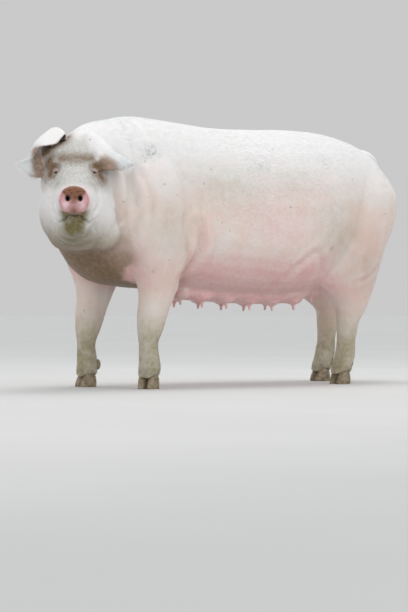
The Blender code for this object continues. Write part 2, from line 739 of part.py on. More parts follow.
def add_teats(udder, body, cutters):
    bm = bmesh.new()
    bm.from_mesh(body.data)
    tree = BVHTree.FromBMesh(bm)
    for place in TEAT_PLACES:
        for sign in (-1, 1):
            y = sign * TEAT_SPREAD
            spot = tree.ray_cast(Vector((place, y, 0)), Vector((0, 0, 1)))[0]
            rings = []
            for drop, size in TEAT:
                centre = spot + Vector((0, sign * drop * TEAT_SPLAY, -drop * TEAT_LENGTH))
                radius = size
                rings.append(rounded_ring(centre, Vector((1, 0, 0)), Vector((0, 1, 0)),
                                          radius, radius, radius, 7, 2))
            teat = loft("teat", rings, cutters)
            boolean(udder, teat, "UNION")
            discard([teat])
    bm.free()


def add_tail(torso, sow, cutters):
    tail = tube("tail", TAIL, 9, sow)
    cut_clear(tail, torso, cutters)
    keep_largest(tail)
    return tail


def main():
    clear_scene()
    sow = bpy.data.collections.new("sow")
    cutters = bpy.data.collections.new("cutters")
    bpy.context.scene.collection.children.link(sow)
    bpy.context.scene.collection.children.link(cutters)
    cutters.hide_render = True
    masses = build_masses(cutters)
    body = fused(masses, cutters)
    discard(masses)
    fine = sparser(body, "fine", FINE_TRIANGLES, cutters)
    coarse = sparser(body, "coarse", COARSE_TRIANGLES, cutters)

    head = take("head", fine, head_cutter, sow, cutters)
    clear_of(coarse, head_cutter, cutters)
    keep_largest(coarse)
    udder = take("udder", coarse, udder_cutter, sow, cutters)
    clear_of(coarse, udder_cutter, cutters)
    for name, side, kind in (("front_left", "left", "fore"), ("front_right", "right", "fore"),
                             ("hind_left", "left", "hind"), ("hind_right", "right", "hind")):
        def cutter(grow, collection, side=side, kind=kind):
            return leg_cutter(side, kind, grow, collection)

        leg = take("leg_" + name, coarse, cutter, sow, cutters)
        clear_of(coarse, cutter, cutters)
        add_foot(leg, name, side, kind, sow, cutters)
    neck = take("neck", coarse, box_ahead, sow, cutters)
    torso = copy_of(coarse, "torso", sow)
    clear_of(torso, box_ahead, cutters)
    keep_largest(torso)
    add_teats(udder, body, cutters)
    keep_largest(udder)
    cut_clear(torso, udder, cutters)
    add_tail(torso, sow, cutters)

    add_snout(head, cutters)
    cut_nostrils(head, cutters)
    cut_mouth(head, cutters)
    for side in ("left", "right"):
        add_eye(head, side, sow, cutters)
    keep_largest(head)
    for side, rows in (("left", EAR_LEFT), ("right", EAR_RIGHT)):
        blade = ear("ear_" + side, rows, sow)
        for other in (head, neck, torso):
            cut_clear(blade, other, cutters)
        keep_largest(blade)
    discard([body, fine, coarse])
    paint(sow)
    move_origin(sow)


def paint(sow):
    """Every node has a material of its own."""
    for obj in sow.objects:
        kind = obj.name.split("_")[0]
        colour, roughness = COLOURS[kind]
        material = bpy.data.materials.new(obj.name)
        material.use_nodes = True
        shader = material.node_tree.nodes["Principled BSDF"]
        shader.inputs["Base Color"].default_value = (*colour, 1)
        shader.inputs["Roughness"].default_value = roughness
        shader.inputs["Metallic"].default_value = 0
        obj.data.materials.clear()
        obj.data.materials.append(material)
        obj.data.shade_smooth()
        obj.data.set_sharp_from_angle(angle=math.radians(40))


def move_origin(sow):
    """The middle of the box's foot goes to the origin."""
    points = [np.array([v.co for v in obj.data.vertices]) for obj in sow.objects]
    stack = np.vstack(points)
    low, high = stack.min(axis=0), stack.max(axis=0)
    shift = Vector((-(low[0] + high[0]) / 2, -(low[1] + high[1]) / 2, -low[2]))
    for obj in sow.objects:
        obj.data.transform(Matrix.Translation(shift))


main()
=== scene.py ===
# A white lop-eared sow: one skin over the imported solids, a short coat of tufts, eyes and claws.
# Metres, +Z up. She faces -X and her left side is towards -Y.
import math
import time

import bmesh
import bpy
import numpy as np
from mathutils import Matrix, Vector, noise
from mathutils.bvhtree import BVHTree


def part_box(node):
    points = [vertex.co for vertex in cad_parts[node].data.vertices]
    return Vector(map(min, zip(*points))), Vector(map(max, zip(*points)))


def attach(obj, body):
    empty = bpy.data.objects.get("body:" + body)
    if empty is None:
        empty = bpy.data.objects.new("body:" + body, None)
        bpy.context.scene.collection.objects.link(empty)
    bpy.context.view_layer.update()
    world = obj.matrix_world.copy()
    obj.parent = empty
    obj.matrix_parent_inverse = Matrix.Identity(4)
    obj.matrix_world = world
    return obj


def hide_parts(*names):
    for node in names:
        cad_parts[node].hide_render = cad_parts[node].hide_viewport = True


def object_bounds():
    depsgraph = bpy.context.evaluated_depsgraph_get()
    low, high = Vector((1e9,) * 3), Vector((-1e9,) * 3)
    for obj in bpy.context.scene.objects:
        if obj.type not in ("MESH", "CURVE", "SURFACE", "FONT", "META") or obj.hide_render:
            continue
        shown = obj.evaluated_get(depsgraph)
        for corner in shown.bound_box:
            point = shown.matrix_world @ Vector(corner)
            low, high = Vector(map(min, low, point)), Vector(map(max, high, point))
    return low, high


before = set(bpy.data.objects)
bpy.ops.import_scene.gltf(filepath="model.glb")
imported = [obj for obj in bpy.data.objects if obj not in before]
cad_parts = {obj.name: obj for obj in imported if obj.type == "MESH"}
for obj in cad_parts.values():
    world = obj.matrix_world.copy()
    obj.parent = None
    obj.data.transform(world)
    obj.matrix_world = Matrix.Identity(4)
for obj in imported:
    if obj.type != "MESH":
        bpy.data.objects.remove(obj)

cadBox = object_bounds()
started = time.time()

head = {
    "turn": 53.8,  # degrees to her left
    "poll": (-0.6658, -0.0765),  # where the head's own line starts, before the shift below
    "eye": (0.150, 0.058, 0.716),  # reach from the poll, to the left, height
    "eyeRadius": 0.0125,
    "eyeOut": 28.0,  # degrees that each eye looks aside
    "earTips": {"left": (0.088, 0.191, 0.750), "right": (0.072, -0.194, 0.752)},
}


def say(words):
    print(f"{time.time() - started:6.1f} s  {words}", flush=True)


def facing(turn):
    a = math.radians(turn)
    return np.array([-math.cos(a), -math.sin(a), 0.0]), np.array([math.sin(a), -math.cos(a), 0.0])


headForward, headLeft = facing(head["turn"])
up = np.array([0.0, 0.0, 1.0])


def headPoint(reach, left, height):
    return pollAt + headForward * reach + headLeft * left + np.array([0, 0, height])


# Reach, left and height of points, in the head's own sizes.
def headSizes(points):
    local = points - pollAt
    return np.stack([local @ headForward, local @ headLeft, local[:, 2]], axis=1)


eyeCentres = {side: (np.array(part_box("eye_" + side)[0]) + np.array(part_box("eye_" + side)[1])) / 2
              for side in ("left", "right")}
pollAt = np.zeros(3)
pollAt = eyeCentres["left"] - headPoint(*head["eye"])
pollAt[2] = 0
shift = pollAt - np.array([*head["poll"], 0])


# Small mesh helpers

def addObject(name, data):
    obj = bpy.data.objects.new(name, data)
    bpy.context.scene.collection.objects.link(obj)
    return obj


def pointsOf(obj):
    points = np.empty(len(obj.data.vertices) * 3)
    obj.data.vertices.foreach_get("co", points)
    return points.reshape(-1, 3)


def setPoints(obj, points):
    obj.data.vertices.foreach_set("co", np.ascontiguousarray(points, dtype=np.float64).ravel())
    obj.data.update()


def normalsOf(obj):
    normals = np.empty(len(obj.data.vertices) * 3, np.float32)
    obj.data.vertex_normals.foreach_get("vector", normals)
    return normals.reshape(-1, 3).astype(float)


def edgesOf(obj):
    edges = np.empty(len(obj.data.edges) * 2, np.int32)
    obj.data.edges.foreach_get("vertices", edges)
    return edges.reshape(-1, 2)


def trianglesOf(obj):
    obj.data.calc_loop_triangles()
    count = len(obj.data.loop_triangles)
    corners = np.empty(count * 3, np.int32)
    loops = np.empty(count * 3, np.int32)
    obj.data.loop_triangles.foreach_get("vertices", corners)
    obj.data.loop_triangles.foreach_get("loops", loops)
    return corners.reshape(-1, 3), loops.reshape(-1, 3)


def skinTree(points):
    triangles = trianglesOf(skin)[0]
    return BVHTree.FromPolygons([tuple(p) for p in points], [tuple(t) for t in triangles], all_triangles=True)


# A colour at each point: red, green and blue are three masks from 0 to 1.
def setAttribute(obj, name, values):
    attribute = obj.data.attributes.new(name, "FLOAT_COLOR", "POINT")
    filled = np.ones((len(values), 4), np.float32)
    filled[:, :3] = np.clip(values, 0, 1)
    attribute.data.foreach_set("color", filled.ravel())


def selectOnly(obj):
    bpy.ops.object.select_all(action="DESELECT")
    obj.select_set(True)
    bpy.context.view_layer.objects.active = obj


def applyModifier(obj, kind, **settings):
    modifier = obj.modifiers.new(kind, kind)
    for key, value in settings.items():
        setattr(modifier, key, value)
    selectOnly(obj)
    bpy.ops.object.modifier_apply(modifier=modifier.name)


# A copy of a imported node's mesh with its doubles merged, pushed out a little.
def nodeCopy(name, swell):
    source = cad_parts[name]
    bm = bmesh.new()
    bm.from_mesh(source.data)
    bmesh.ops.remove_doubles(bm, verts=bm.verts, dist=1e-5)
    bm.normal_update()
    for vert, normal in [(vert, vert.normal.copy()) for vert in bm.verts]:
        vert.co += normal * swell
    return bm


# Moves each point's values halfway to the mean of its neighbours', for as many rounds as it is allowed.
def spread(values, edges, rounds, allowed=None):
    count = len(values)
    degree = np.maximum(np.bincount(edges.ravel(), minlength=count), 1)[:, None]
    a, b = edges.T
    for i in range(rounds):
        total = np.stack([np.bincount(a, row[b], count) + np.bincount(b, row[a], count)
                          for row in values.T], axis=1)
        step = (total / degree - values) * 0.5
        if allowed is not None:
            step[allowed <= i] = 0
        values = values + step
    return values


def unit(vectors):
    return vectors / np.maximum(np.linalg.norm(vectors, axis=-1, keepdims=True), 1e-9)


def soft(values, low, high):
    t = np.clip((values - low) / (high - low), 0, 1)
    return t * t * (3 - 2 * t)


def hill(distance, width):
    return np.exp(-((distance / width) ** 2))


# Three values at each point, as one array.
def ways(x, y, z):
    return np.stack(np.broadcast_arrays(x, y, z), axis=1)


# Skin

fleshNodes = ["head", "neck", "torso", "udder", "tail", "ear_left", "ear_right",
              "leg_front_left", "leg_front_right", "leg_hind_left", "leg_hind_right"]
skinSizes = {
    "voxel": 0.0032,
    "swell": 0.0005,
    "depth": 0.0016,  # what the skin lies inside the solids, for the coat
    "earDepth": 0.0004,
    "triangles": 120000,  # before the face is made finer
    "edge": 0.0003,  # what it keeps inside the solids' box
}


def makeSkin():
    joined = bmesh.new()
    for name in fleshNodes + ["eye_left", "eye_right"]:
        piece = nodeCopy(name, skinSizes["swell"] * (1 if name in fleshNodes else 1.4))
        mesh = bpy.data.meshes.new("part")
        piece.to_mesh(mesh)
        joined.from_mesh(mesh)
        bpy.data.meshes.remove(mesh)
        piece.free()
    mesh = bpy.data.meshes.new("skin")
    joined.to_mesh(mesh)
    joined.free()
    skin = addObject("skin", mesh)
    applyModifier(skin, "REMESH", mode="VOXEL", voxel_size=skinSizes["voxel"])
    say(f"skin remeshed: {len(skin.data.vertices)} points")
    return skin


# Rounds of smoothing by place: few on the face and teats
smoothing = {"rest": 18, "trunk": 44, "belly": 12, "head": 9, "disc": 3, "mouth": 30}


def allowedRounds(points):
    x, y, z = (points - shift).T
    reach, left, height = headSizes(points).T
    belly = soft(z, 0.40, 0.33) * soft(np.abs(y), 0.16, 0.12) * soft(x, -0.34, -0.28) * soft(x, 0.44, 0.38)
    trunk = soft(x, -0.62, -0.40) * soft(z, 0.34, 0.50)
    nearHead = soft(reach, -0.12, -0.02) * soft(np.abs(left), 0.26, 0.20) * soft(x, -0.45, -0.52)
    rounds = smoothing["rest"]
    for share, place in ((trunk, "trunk"), (belly, "belly"), (nearHead, "head")):
        rounds = rounds * (1 - share) + smoothing[place] * share
    rounds = np.where(reach > 0.325, smoothing["disc"], rounds)
    atMouth = (lineRange(points, mouthLine()) < 0.013) & (reach < 0.336) & (height < 0.574)
    return np.where(atMouth, smoothing["mouth"], rounds)


def makeSparser(skin):
    faces = len(skin.data.polygons) * 2
    applyModifier(skin, "DECIMATE", ratio=skinSizes["triangles"] / faces)


# Where the face is made finer, in turns: how near the eyes and the mouth, and past which reach. The last
# turn is for the eyes alone
finer = [(0.054, 0.012, 0.325), (0.040, 0.009, 0.338), (0.0225, 0, 1)]


# Splits the edges whose both ends are wanted.
def makeFiner(skin, wanted):
    bm = bmesh.new()
    bm.from_mesh(skin.data)
    chosen = [edge for edge in bm.edges if wanted[edge.verts[0].index] and wanted[edge.verts[1].index]]
    bmesh.ops.subdivide_edges(bm, edges=chosen, cuts=1, use_grid_fill=True)
    bmesh.ops.triangulate(bm, faces=[face for face in bm.faces if len(face.verts) > 3])
    bm.to_mesh(skin.data)
    bm.free()
    skin.data.update()


def eyeRange(points):
    return np.minimum(*(np.linalg.norm(points - centre, axis=1) for centre in eyeCentres.values()))


# Distance of every point to a line through the given points, up to the most that is looked at.
def lineRange(points, line):
    line = np.array(line)
    most = 0.06
    low, high = line.min(axis=0) - most, line.max(axis=0) + most
    near = np.flatnonzero(((points > low) & (points < high)).all(axis=1))
    found = np.full(len(points), most)
    for a, b in zip(line, line[1:]):
        along = b - a
        t = np.clip(((points[near] - a) @ along) / (along @ along), 0, 1)
        away = np.linalg.norm(points[near] - a - t[:, None] * along, axis=1)
        found[near] = np.minimum(found[near], away)
    return found


# A smooth curve through the given rows.
def smoothLine(rows, steps=6):
    known = np.array(rows, float)
    padded = np.vstack([2 * known[0] - known[1], known, 2 * known[-1] - known[-2]])
    made = []
    for i in range(len(known) - 1):
        p0, p1, p2, p3 = padded[i:i + 4]
        for t in np.arange(steps) / steps:
            made.append(0.5 * (2 * p1 + (p2 - p0) * t + (2 * p0 - 5 * p1 + 4 * p2 - p3) * t**2
                               + (3 * p1 - p0 - 3 * p2 + p3) * t**3))
    made.append(known[-1])
    return np.array(made)


mouth = {
    "line": ((0.332, 0.0, 0.568), (0.326, 0.024, 0.564), (0.300, 0.046, 0.557), (0.258, 0.062, 0.556),
             (0.215, 0.074, 0.566)),
    "depth": 0.0050,
    "width": 0.0030,
}


def mouthLine():
    rows = [(r, -l, h) for r, l, h in mouth["line"][:0:-1]] + list(mouth["line"])
    return [headPoint(*row) for row in smoothLine(rows)]


def onSkin(tree, line):
    for i in range(3):
        line = np.array([tree.find_nearest(Vector(p))[0] for p in line])
        line[1:-1] = (line[:-2] + 2 * line[1:-1] + line[2:]) / 4
    return line


# Creases, each a line on the skin with its depth and width. These are seen from the face's front, to
# her left and up
faceCreases = [
    (((0.046, 0.690), (0.066, 0.662), (0.078, 0.628), (0.072, 0.595), (0.056, 0.568)), 0.0050, 0.0070),
    (((-0.046, 0.690), (-0.066, 0.662), (-0.078, 0.628), (-0.074, 0.592), (-0.056, 0.566)), 0.0050, 0.0070),
    (((0.094, 0.700), (0.110, 0.655), (0.117, 0.620), (0.134, 0.590)), 0.0050, 0.0060),
    (((-0.094, 0.700), (-0.104, 0.660), (-0.104, 0.615)), 0.0045, 0.0055),
    (((0.076, 0.688), (0.088, 0.662), (0.096, 0.625), (0.094, 0.600)), 0.0026, 0.0042),
    (((-0.076, 0.688), (-0.088, 0.662), (-0.092, 0.625)), 0.0026, 0.0042),
    (((-0.046, 0.556), (-0.038, 0.532), (-0.020, 0.506)), 0.0040, 0.0060),
    (((0.046, 0.556), (0.036, 0.532), (0.014, 0.500)), 0.0040, 0.0060),
    (((-0.056, 0.548), (-0.066, 0.522), (-0.052, 0.492)), 0.0030, 0.0070),
    (((0.056, 0.548), (0.072, 0.522), (0.066, 0.492)), 0.0030, 0.0070),
    (((-0.080, 0.520), (-0.040, 0.488), (0.000, 0.476), (0.050, 0.480), (0.100, 0.510)), 0.0030, 0.0090),
    (((-0.036, 0.747), (0.000, 0.752), (0.036, 0.747)), 0.0022, 0.0050),
    (((-0.030, 0.734), (0.000, 0.738), (0.030, 0.734)), 0.0014, 0.0040),
    (((-0.034, 0.681), (0.000, 0.689), (0.034, 0.681)), 0.0018, 0.0040),
    (((-0.040, 0.671), (0.000, 0.679), (0.040, 0.671)), 0.0020, 0.0034),
]


def faceLines(tree):
    lines = []
    for rows, depth, width in faceCreases:
        line = []
        for left, height in smoothLine(rows, 4):
            spot = tree.ray_cast(Vector(headPoint(0.6, left, height)), Vector(-headForward))[0]
            if spot:
                line.append(np.array(spot))
        lines.append((line, depth, width))
    spots = onSkin(tree, mouthLine())
    third = len(spots) // 3
    lines.append((spots, mouth["depth"] / 2, mouth["width"] * 1.3))
    lines.append((spots[third:-third], mouth["depth"] / 2, mouth["width"]))
    return lines


# These are seen from the side, along X and up, and lie on both sides of the trunk
flankCreases = [
    (((-0.560, 0.780), (-0.530, 0.690), (-0.520, 0.590), (-0.535, 0.500)), 0.0042, 0.0150),
    (((-0.500, 0.740), (-0.470, 0.650), (-0.465, 0.560)), 0.0022, 0.0120),
    (((-0.285, 0.650), (-0.272, 0.600), (-0.262, 0.540), (-0.262, 0.480)), 0.0024, 0.0130),
    (((-0.290, 0.560), (-0.262, 0.480), (-0.285, 0.410), (-0.330, 0.370)), 0.0075, 0.0140),
    (((-0.330, 0.500), (-0.305, 0.440), (-0.330, 0.390)), 0.0030, 0.0080),
    (((0.120, 0.385), (0.155, 0.425), (0.205, 0.462), (0.245, 0.448), (0.272, 0.405), (0.285, 0.350)),
     0.0055, 0.0135),
    (((0.205, 0.462), (0.262, 0.500), (0.300, 0.560)), 0.0018, 0.0140),
    (((0.560, 0.420), (0.500, 0.380), (0.440, 0.360)), 0.0025, 0.0090),
]


def flankLines(tree):
    lines = []
    for rows, depth, width in flankCreases:
        for sign in (-1, 1):
            line = []
            for x, z in smoothLine(rows, 4):
                start = Vector((x, sign * 0.8, z)) + Vector(shift)
                spot = tree.ray_cast(start, Vector((0, -sign, 0)))[0]
                if spot:
                    line.append(np.array(spot))
            lines.append((line, depth, width))
    return lines


# Draws the creases in, with a low swelling on either side.
def creased(points, normals, lines):
    moved = np.zeros(len(points))
    for line, depth, width in lines:
        if len(line) < 2:
            continue
        ends = np.minimum(np.linalg.norm(points - line[0], axis=1), np.linalg.norm(points - line[-1], axis=1))
        fade = 0.25 + 0.75 * soft(ends, 0, width * 4)
        away = lineRange(points, line)
        moved -= depth * fade * hill(away, width)
        moved += depth * 0.45 * fade * hill(away - 2.3 * width, width * 1.1)
    return points + normals * moved[:, None]


lids = {
    "half": 44.0,  # degrees from the pupil to each corner
    "upper": 13.0,
    "lower": 10.0,
    "tilt": 9.0,  # the outer corner lies lower
    "thick": 0.0024,
    "fold": 0.0013,  # how far the upper lid's fold stands out
    "crease": 0.0016,  # over the fold
    "lowerCrease": 0.0010,
    "sink": 0.0040,  # how deep the skin lies behind the slit
    "near": 0.036,  # how far from the eye's middle the skin is pulled onto the lids
    "held": (92, 58),  # degrees from the gaze: none of it is pulled past the first, all within the second
    "relaxed": (0.0166, 0.048),  # the ring of skin round the lids that is evened out
}


# The way an eye looks, and across it to her left.
def gazeOf(side):
    return facing(head["turn"] + (1 if side == "left" else -1) * head["eyeOut"])


# For the points near an eye: degrees above the slit's middle, along it and outside it, and which they are.
def slitAngles(side, points):
    forward, sideways = gazeOf(side)
    local = points - eyeCentres[side]
    reach = np.linalg.norm(local, axis=1)
    near = np.flatnonzero((reach < lids["near"]) & (local @ forward > -0.004))
    v = local[near] / reach[near][:, None]
    tilt = math.radians(lids["tilt"])
    outward = sideways * (1 if side == "left" else -1)
    across = outward * math.cos(tilt) - up * math.sin(tilt)
    upward = up * math.cos(tilt) + outward * math.sin(tilt)
    azimuth = np.degrees(np.arctan2(v @ across, v @ forward))
    rise = np.degrees(np.arcsin(np.clip(v @ upward, -1, 1)))
    share = np.clip(1 - (azimuth / lids["half"]) ** 2, 0.0, 1) ** 0.7
    half = np.where(rise > 0, lids["upper"], lids["lower"]) * share
    corner = np.maximum(np.abs(azimuth) - lids["half"], 0)
    outside = np.where(corner > 0, np.hypot(rise, corner), np.abs(rise) - half)
    return rise, azimuth, outside, near


# Lids round each eyeball: a slit between them, a rim, and a crease above and below.
def sculptEyes(points):
    points = points.copy()
    for side, centre in eyeCentres.items():
        rise, azimuth, outside, near = slitAngles(side, points)
        local = points[near] - centre
        reach = np.linalg.norm(local, axis=1)
        v = local / reach[:, None]
        angle = np.degrees(np.arccos(np.clip(v @ gazeOf(side)[0], -1, 1)))
        hold = soft(angle, *lids["held"])
        rim = head["eyeRadius"] + lids["thick"] * (0.35 + 0.65 * soft(outside, 0, 11))
        rim += (rise > 0) * (lids["fold"] * hill(outside - 9, 7) - lids["crease"] * hill(outside - 25, 5))
        rim -= (rise < 0) * lids["lowerCrease"] * hill(outside - 22, 5)
        inside = soft(outside, 1.5, -2.5)
        wanted = reach * (1 - hold) + rim * hold
        wanted = wanted * (1 - inside) + (head["eyeRadius"] - lids["sink"]) * inside
        points[near] = centre + v * wanted[:, None]
    ring = eyeRange(points)
    relaxed = (ring > lids["relaxed"][0]) & (ring < lids["relaxed"][1])
    return spread(points, edges, 14, allowed=14 * relaxed)


disc = {
    "reach": 0.350,
    "height": 0.615,
    "nostril": (0.020, 0.009),  # from the disc's middle: to each side, up
    "nostrilSize": (0.0070, 0.0088),
    "hole": 0.0180,
    "rim": 0.0010,
    "lobe": 0.0018,
    "groove": 0.0022,
    "wrinkle": 0.0006,
    "underLift": 0.0090,  # how much the chin's skin under the disc is raised
}


# 1 at a nostril's edge.
def nostrilRange(left, rise):
    (side, above), (wide, high) = disc["nostril"], disc["nostrilSize"]
    return np.hypot((np.abs(left) - side) / wide, (rise - above) / high)


# The snout's face: open nostrils, a lobe under each, and the groove between the lobes.
def sculptDisc(points):
    reach, left, height = headSizes(points).T
    rise = height - disc["height"]
    across = np.abs(left)
    edge = nostrilRange(left, rise)
    ahead = disc["lobe"] * hill(np.hypot(across - 0.025, rise + 0.012), 0.013)
    ahead -= disc["groove"] * hill(left, 0.004) * soft(rise, 0.0, -0.02)
    ahead += 0.0010 * hill(np.hypot(left, rise - 0.030), 0.014)
    ahead += disc["rim"] * hill(edge - 1.65, 0.45)
    ahead -= disc["hole"] * soft(edge, 1.45, 0.30)
    ahead -= 0.0020 * hill(np.hypot(left / 0.9, rise - 0.012), 0.008)
    wrinkle = np.sin(rise * 900 + 2.0 * np.sin(left * 140)) * soft(rise, 0.004, 0.018)
    ahead += disc["wrinkle"] * wrinkle * (edge > 1.6)
    ahead -= 0.0012 * hill(np.abs(edge - 2.3), 0.25) * soft(rise, 0.004, 0.012)
    ahead *= soft(reach, disc["reach"] - 0.012, disc["reach"] - 0.002)
    lifted = disc["underLift"] * soft(-rise, 0.022, 0.050) * soft(across, 0.052, 0.012)
    lifted += 0.0022 * hill(left, 0.007) * (rise < -0.02)
    lifted *= soft(reach, 0.332, 0.342)
    return points + headForward * ahead[:, None] + up * lifted[:, None]


folds = {"neck": (0.0014, (34, 34, 7)), "joints": (0.0012, (25, 25, 110))}  # height, and how fine each way


# Upright folds on the neck, and level ones round the joints of the legs.
def wrinkled(points, normals):
    x, z = (points - shift)[:, ::2].T
    neck = soft(x, -0.36, -0.46) * soft(headSizes(points)[:, 0], 0.02, -0.04)
    joints = hill(z - 0.235, 0.035) + hill(z - 0.10, 0.03)
    moved = np.zeros(len(points))
    for share, least, place in ((neck, 0.02, "neck"), (joints, 0.05, "joints")):
        height, scale = folds[place]
        for i in np.flatnonzero(share > least):
            moved[i] += share[i] * height * noise.noise(Vector(points[i] * scale))
    return points + normals * moved[:, None]


# Which node's surface each point is nearest to.
def nodeLabels(points):
    corners, faces, owners = [], [], []
    for i, name in enumerate(fleshNodes):
        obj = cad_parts[name]
        base = len(corners)
        corners.extend(tuple(v.co) for v in obj.data.vertices)
        obj.data.calc_loop_triangles()
        faces.extend(tuple(base + k for k in t.vertices) for t in obj.data.loop_triangles)
        owners.extend([i] * len(obj.data.loop_triangles))
    tree = BVHTree.FromPolygons(corners, faces, all_triangles=True)
    return np.array([owners[tree.find_nearest(Vector(p))[2]] for p in points])


# The way the hair lies: from the snout back, down the sides and legs, out along the ears.
def lieOf(points, labels):
    x, y, z = (points - shift).T
    left, height = headSizes(points)[:, 1:].T
    name = np.array(fleshNodes)[labels]
    side = np.clip(y / 0.27, -1, 1)
    rump = soft(x, 0.50, 0.68)[:, None]
    lie = ways(1.0, 0.25 * side, -0.25 - 0.45 * np.abs(side)) * (1 - rump)
    lie += ways(0.25, 0.3 * side, -1.0) * rump
    face = -headForward * 0.9 + np.outer(np.sign(left) * soft(np.abs(left), 0, 0.1), headLeft) * 0.5
    face = face + up * (0.75 * soft(height, 0.66, 0.74) - 0.45 * soft(height, 0.66, 0.56))[:, None]
    lie[name == "head"] = face[name == "head"]
    lie[name == "neck"] = ways(0.8, 0.4, -0.35 - 0.5 * soft(z, 0.8, 0.6))[name == "neck"]
    lie[np.char.startswith(name, "leg")] = (0.18, 0.0, -1.0)
    lie[name == "tail"] = (0.1, 0.0, -1.0)
    lie[name == "ear_left"] = headForward * 0.30 + headLeft * 0.80 - up * 0.45
    lie[name == "ear_right"] = headForward * 0.35 - headLeft * 0.75 - up * 0.55
    return unit(lie)


# Grey spots by their middle along X, to the side and up, before the shift, and their size
greySpots = [
    ((-0.438, -0.17, 0.787), 0.042),
    ((-0.012, -0.22, 0.754), 0.040),
    ((0.294, -0.20, 0.775), 0.040),
    ((-0.107, -0.25, 0.700), 0.010),
    ((0.000, -0.25, 0.712), 0.012),
    ((-0.050, -0.25, 0.666), 0.009),
    ((0.486, -0.20, 0.527), 0.012),
    ((0.300, 0.22, 0.760), 0.050),
    ((-0.150, 0.24, 0.800), 0.040),
    ((0.050, 0.16, 0.850), 0.034),
    ((-0.090, -0.14, 0.890), 0.026),
]
# Soft ovals of colour: middle, size each way, strength, and how far out from her middle they begin. Those
# on the flanks are given along X and up, those on the face to her left and up
flankPink = [
    ((0.050, 0.560), (0.130, 0.085), 0.50, 0.15),
    ((0.205, 0.385), (0.08779, 0.08004), 1.00, 0),
    ((-0.250, 0.460), (0.060, 0.100), 0.34, 0.12),
]
dullPatches = [
    ((-0.410, 0.530), (0.105, 0.095), 0.26, 0.08),
    ((-0.150, 0.690), (0.160, 0.070), 0.24, 0.08),
    ((0.340, 0.520), (0.120, 0.120), 0.34, 0.08),
    ((0.120, 0.720), (0.130, 0.055), 0.18, 0.08),
    ((0.480, 0.420), (0.130, 0.100), 0.36, 0.08),
]
# Brown stain by the eyes' outer corners, together with painted shade under the ears' flaps
eyeCornerBrownAndShade = [((-0.085, 0.744), (0.025, 0.050), 1.00, 0), ((0.078, 0.730), (0.026, 0.036), 1.00, 0)]
tears = [((-0.100, 0.700), (0.018, 0.032), 0.70, 0), ((0.090, 0.693), (0.020, 0.026), 0.90, 0)]
earNotch = [((0.100, 0.730), (0.018, 0.024), 0.50, 0)]
# Brown painted shade in the hollow under her right ear is laid along this line
underEarShadeLine = [(0, -0.105, 0.780), (0, -0.070, 0.815), (0, -0.030, 0.842)]  # a line under her right ear


def ovals(a, b, rows, aside=1.0):
    found = np.zeros(len(a))
    for (midA, midB), (sizeA, sizeB), strength, least in rows:
        near = hill(np.hypot((a - midA) / sizeA, (b - midB) / sizeB), 1)
        found = np.maximum(found, strength * near * (aside > least))
    return found
